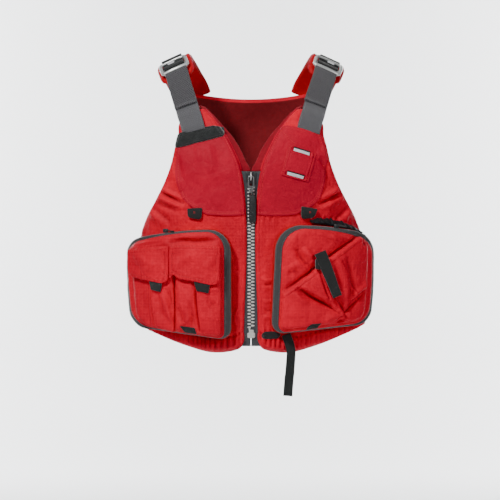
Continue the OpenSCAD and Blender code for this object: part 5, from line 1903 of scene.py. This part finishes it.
def back_pieces():
    z0 = np.linspace(214, 426, 110)[:, None]
    half = smooth_curve(z0, BACK_Z, BACK_PHI)
    corner = corner_cut(z0 - 214, 7, 14) + corner_cut(426 - z0, 5, 12)
    t = spread(130, 0.3, -1, 1)[None]
    s = s_of(180 + t * (half - corner))
    z = z0 - 10 * (1 - t**2) * ease((z0 - 380) / 46)
    loop = loop_of(s, z)

    def height(s, z):
        d = edge_distance(s, z, loop)
        h = rounded(d, 11, 9) - 0.8 * hill(d - 7.0, 1.5)
        calm = ease(d / 16)
        h = h + calm * (1.3 * noise(s, z, 80, 191) + 0.5 * noise(s, z, 28, 193) + 0.6)
        return h - calm * 2.2 * np.exp(-((z - 330 + 6 * np.cos((s - 480) / 90)) / 2.4) ** 2)

    cover = slab("back_panel", s, z, height(s, z), -26.6 + 0 * s, MAT["cover"], walls=5, bulge=2.4)
    place(cover, "back", "cover_red", "back_cover", "back_foam", fill=0.8)
    stitch_path("back", "red", inner_line(loop, 8.6), height, length=2.8, gap=1.4, radius=0.3)
    seam = smooth_path([[s_of(180 - 46), 330], [s_of(180), 323.5], [s_of(180 + 46), 330]], 2.0)
    for up in (-3.4, 3.4):
        stitch_path("back", "red", seam + [0, up], height, length=2.8, gap=1.4, radius=0.3)
    quilt = -26.9 + 0 * s
    lining = slab("back_lining", s, z, quilt, quilt - 1.4 - 1.0 * ease(edge_distance(s, z, loop) / 14),
                  MAT["liner"])
    place(lining, "back", "liner_red", "back_liner")
    mesh_z, mesh_phi = (10, 50, 95, 140, 180, 209), (75, 75, 74, 72, 68, 62)
    z0 = np.linspace(10, 216, 90)[:, None]
    t = spread(110, 0.25, -1, 1)[None]
    s = s_of(180 + t * smooth_curve(z0, mesh_z, mesh_phi))
    z = z0 + 34 * ease((abs(t) - 0.72) / 0.28) * (1 - (z0 - 10) / 206)
    loop = loop_of(s, z)
    d = edge_distance(s, z, loop)
    top = -28.2 + 1.6 * (1 - ease((d - 12) / 2.5)) + 0.7 * noise(s, z, 60, 197) + rounded(d, 1.5, 1.0)
    mesh = slab("back_mesh_knit", s, z, top, top - 2.0, MAT["mesh"])
    place(mesh, "back", "mesh_black", "back_mesh")


for side in SIDES:
    side_fittings(side)
back_pieces()


# ---------------------------------------------------------------- threads
THREAD_MATERIAL = {"red": "thread_red", "dark": "thread_dark", "black": "thread_black",
                   "grey": "thread_grey"}
THREAD_SLOT = {"red": "cover_red", "dark": "yoke_red", "black": "trim_black", "grey": "webbing_grey"}
for (body, colour), parts in sorted(THREADS.items()):
    thread = merge(f"thread_{colour}_{body}", parts, MAT[THREAD_MATERIAL[colour]])
    place(thread, body, THREAD_SLOT[colour])

# ---------------------------------------------------------------- light and backdrop
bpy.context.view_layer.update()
FLOOR_Z = -0.62


def backdrop():
    mesh = bpy.data.meshes.new("backdrop")
    rows = [(-6.0, FLOOR_Z), (4.6, FLOOR_Z), (5.1, FLOOR_Z + 0.1), (5.4, FLOOR_Z + 0.4),
            (5.5, FLOOR_Z + 0.9), (5.5, FLOOR_Z + 5.0)]
    verts = [(x, y, z) for y, z in rows for x in (-7.0, 7.0)]
    mesh.from_pydata(verts, [], [(2 * k, 2 * k + 1, 2 * k + 3, 2 * k + 2) for k in range(len(rows) - 1)])
    mesh.polygons.foreach_set("use_smooth", [True] * len(mesh.polygons))
    obj = bpy.data.objects.new("backdrop", mesh)
    bpy.context.scene.collection.objects.link(obj)
    paper = bpy.data.materials.new("backdrop_paper")
    paper.use_nodes = True
    shader = paper.node_tree.nodes["Principled BSDF"]
    shader.inputs["Base Color"].default_value = (0.86, 0.87, 0.88, 1)
    shader.inputs["Roughness"].default_value = 0.9
    mesh.materials.append(paper)
    return obj


def area_light(name, place, size, power, colour=(1, 1, 1), aim=(0, -0.05, 0.22)):
    light = bpy.data.lights.new(name, "AREA")
    light.shape, light.size, light.size_y = "RECTANGLE", size[0], size[1]
    light.energy, light.color = power, colour
    obj = bpy.data.objects.new(name, light)
    bpy.context.scene.collection.objects.link(obj)
    away = unit(np.array(place) - np.array(aim))
    right = unit(np.cross([0, 0, 1.0], away))
    up = np.cross(away, right)
    matrix = np.eye(4)
    matrix[:3, 0], matrix[:3, 1], matrix[:3, 2], matrix[:3, 3] = right, up, away, place
    obj.matrix_world = Matrix(matrix.tolist())
    return obj


def world_light(colour, strength):
    world = bpy.data.worlds.new("studio")
    world.use_nodes = True
    world.node_tree.nodes["Background"].inputs["Color"].default_value = (*colour, 1)
    world.node_tree.nodes["Background"].inputs["Strength"].default_value = strength
    bpy.context.scene.world = world


floor = backdrop()
area_light("key", (-1.1, -1.7, 1.9), (0.30, 0.30), 62, (1.0, 0.985, 0.96))
area_light("fill", (1.7, -2.3, 1.0), (0.5, 0.5), 20, (1.0, 0.985, 0.97))
area_light("top", (0.1, 0.0, 2.2), (1.2, 0.8), 6)
area_light("backdrop_left", (-2.8, 4.2, 1.2), (1.0, 2.4), 320, aim=(0.4, 5.5, 0.2))
area_light("backdrop_right", (2.8, 4.2, 1.2), (1.0, 2.4), 320, aim=(-0.4, 5.5, 0.2))
world_light((0.93, 0.96, 1.0), 0.12)
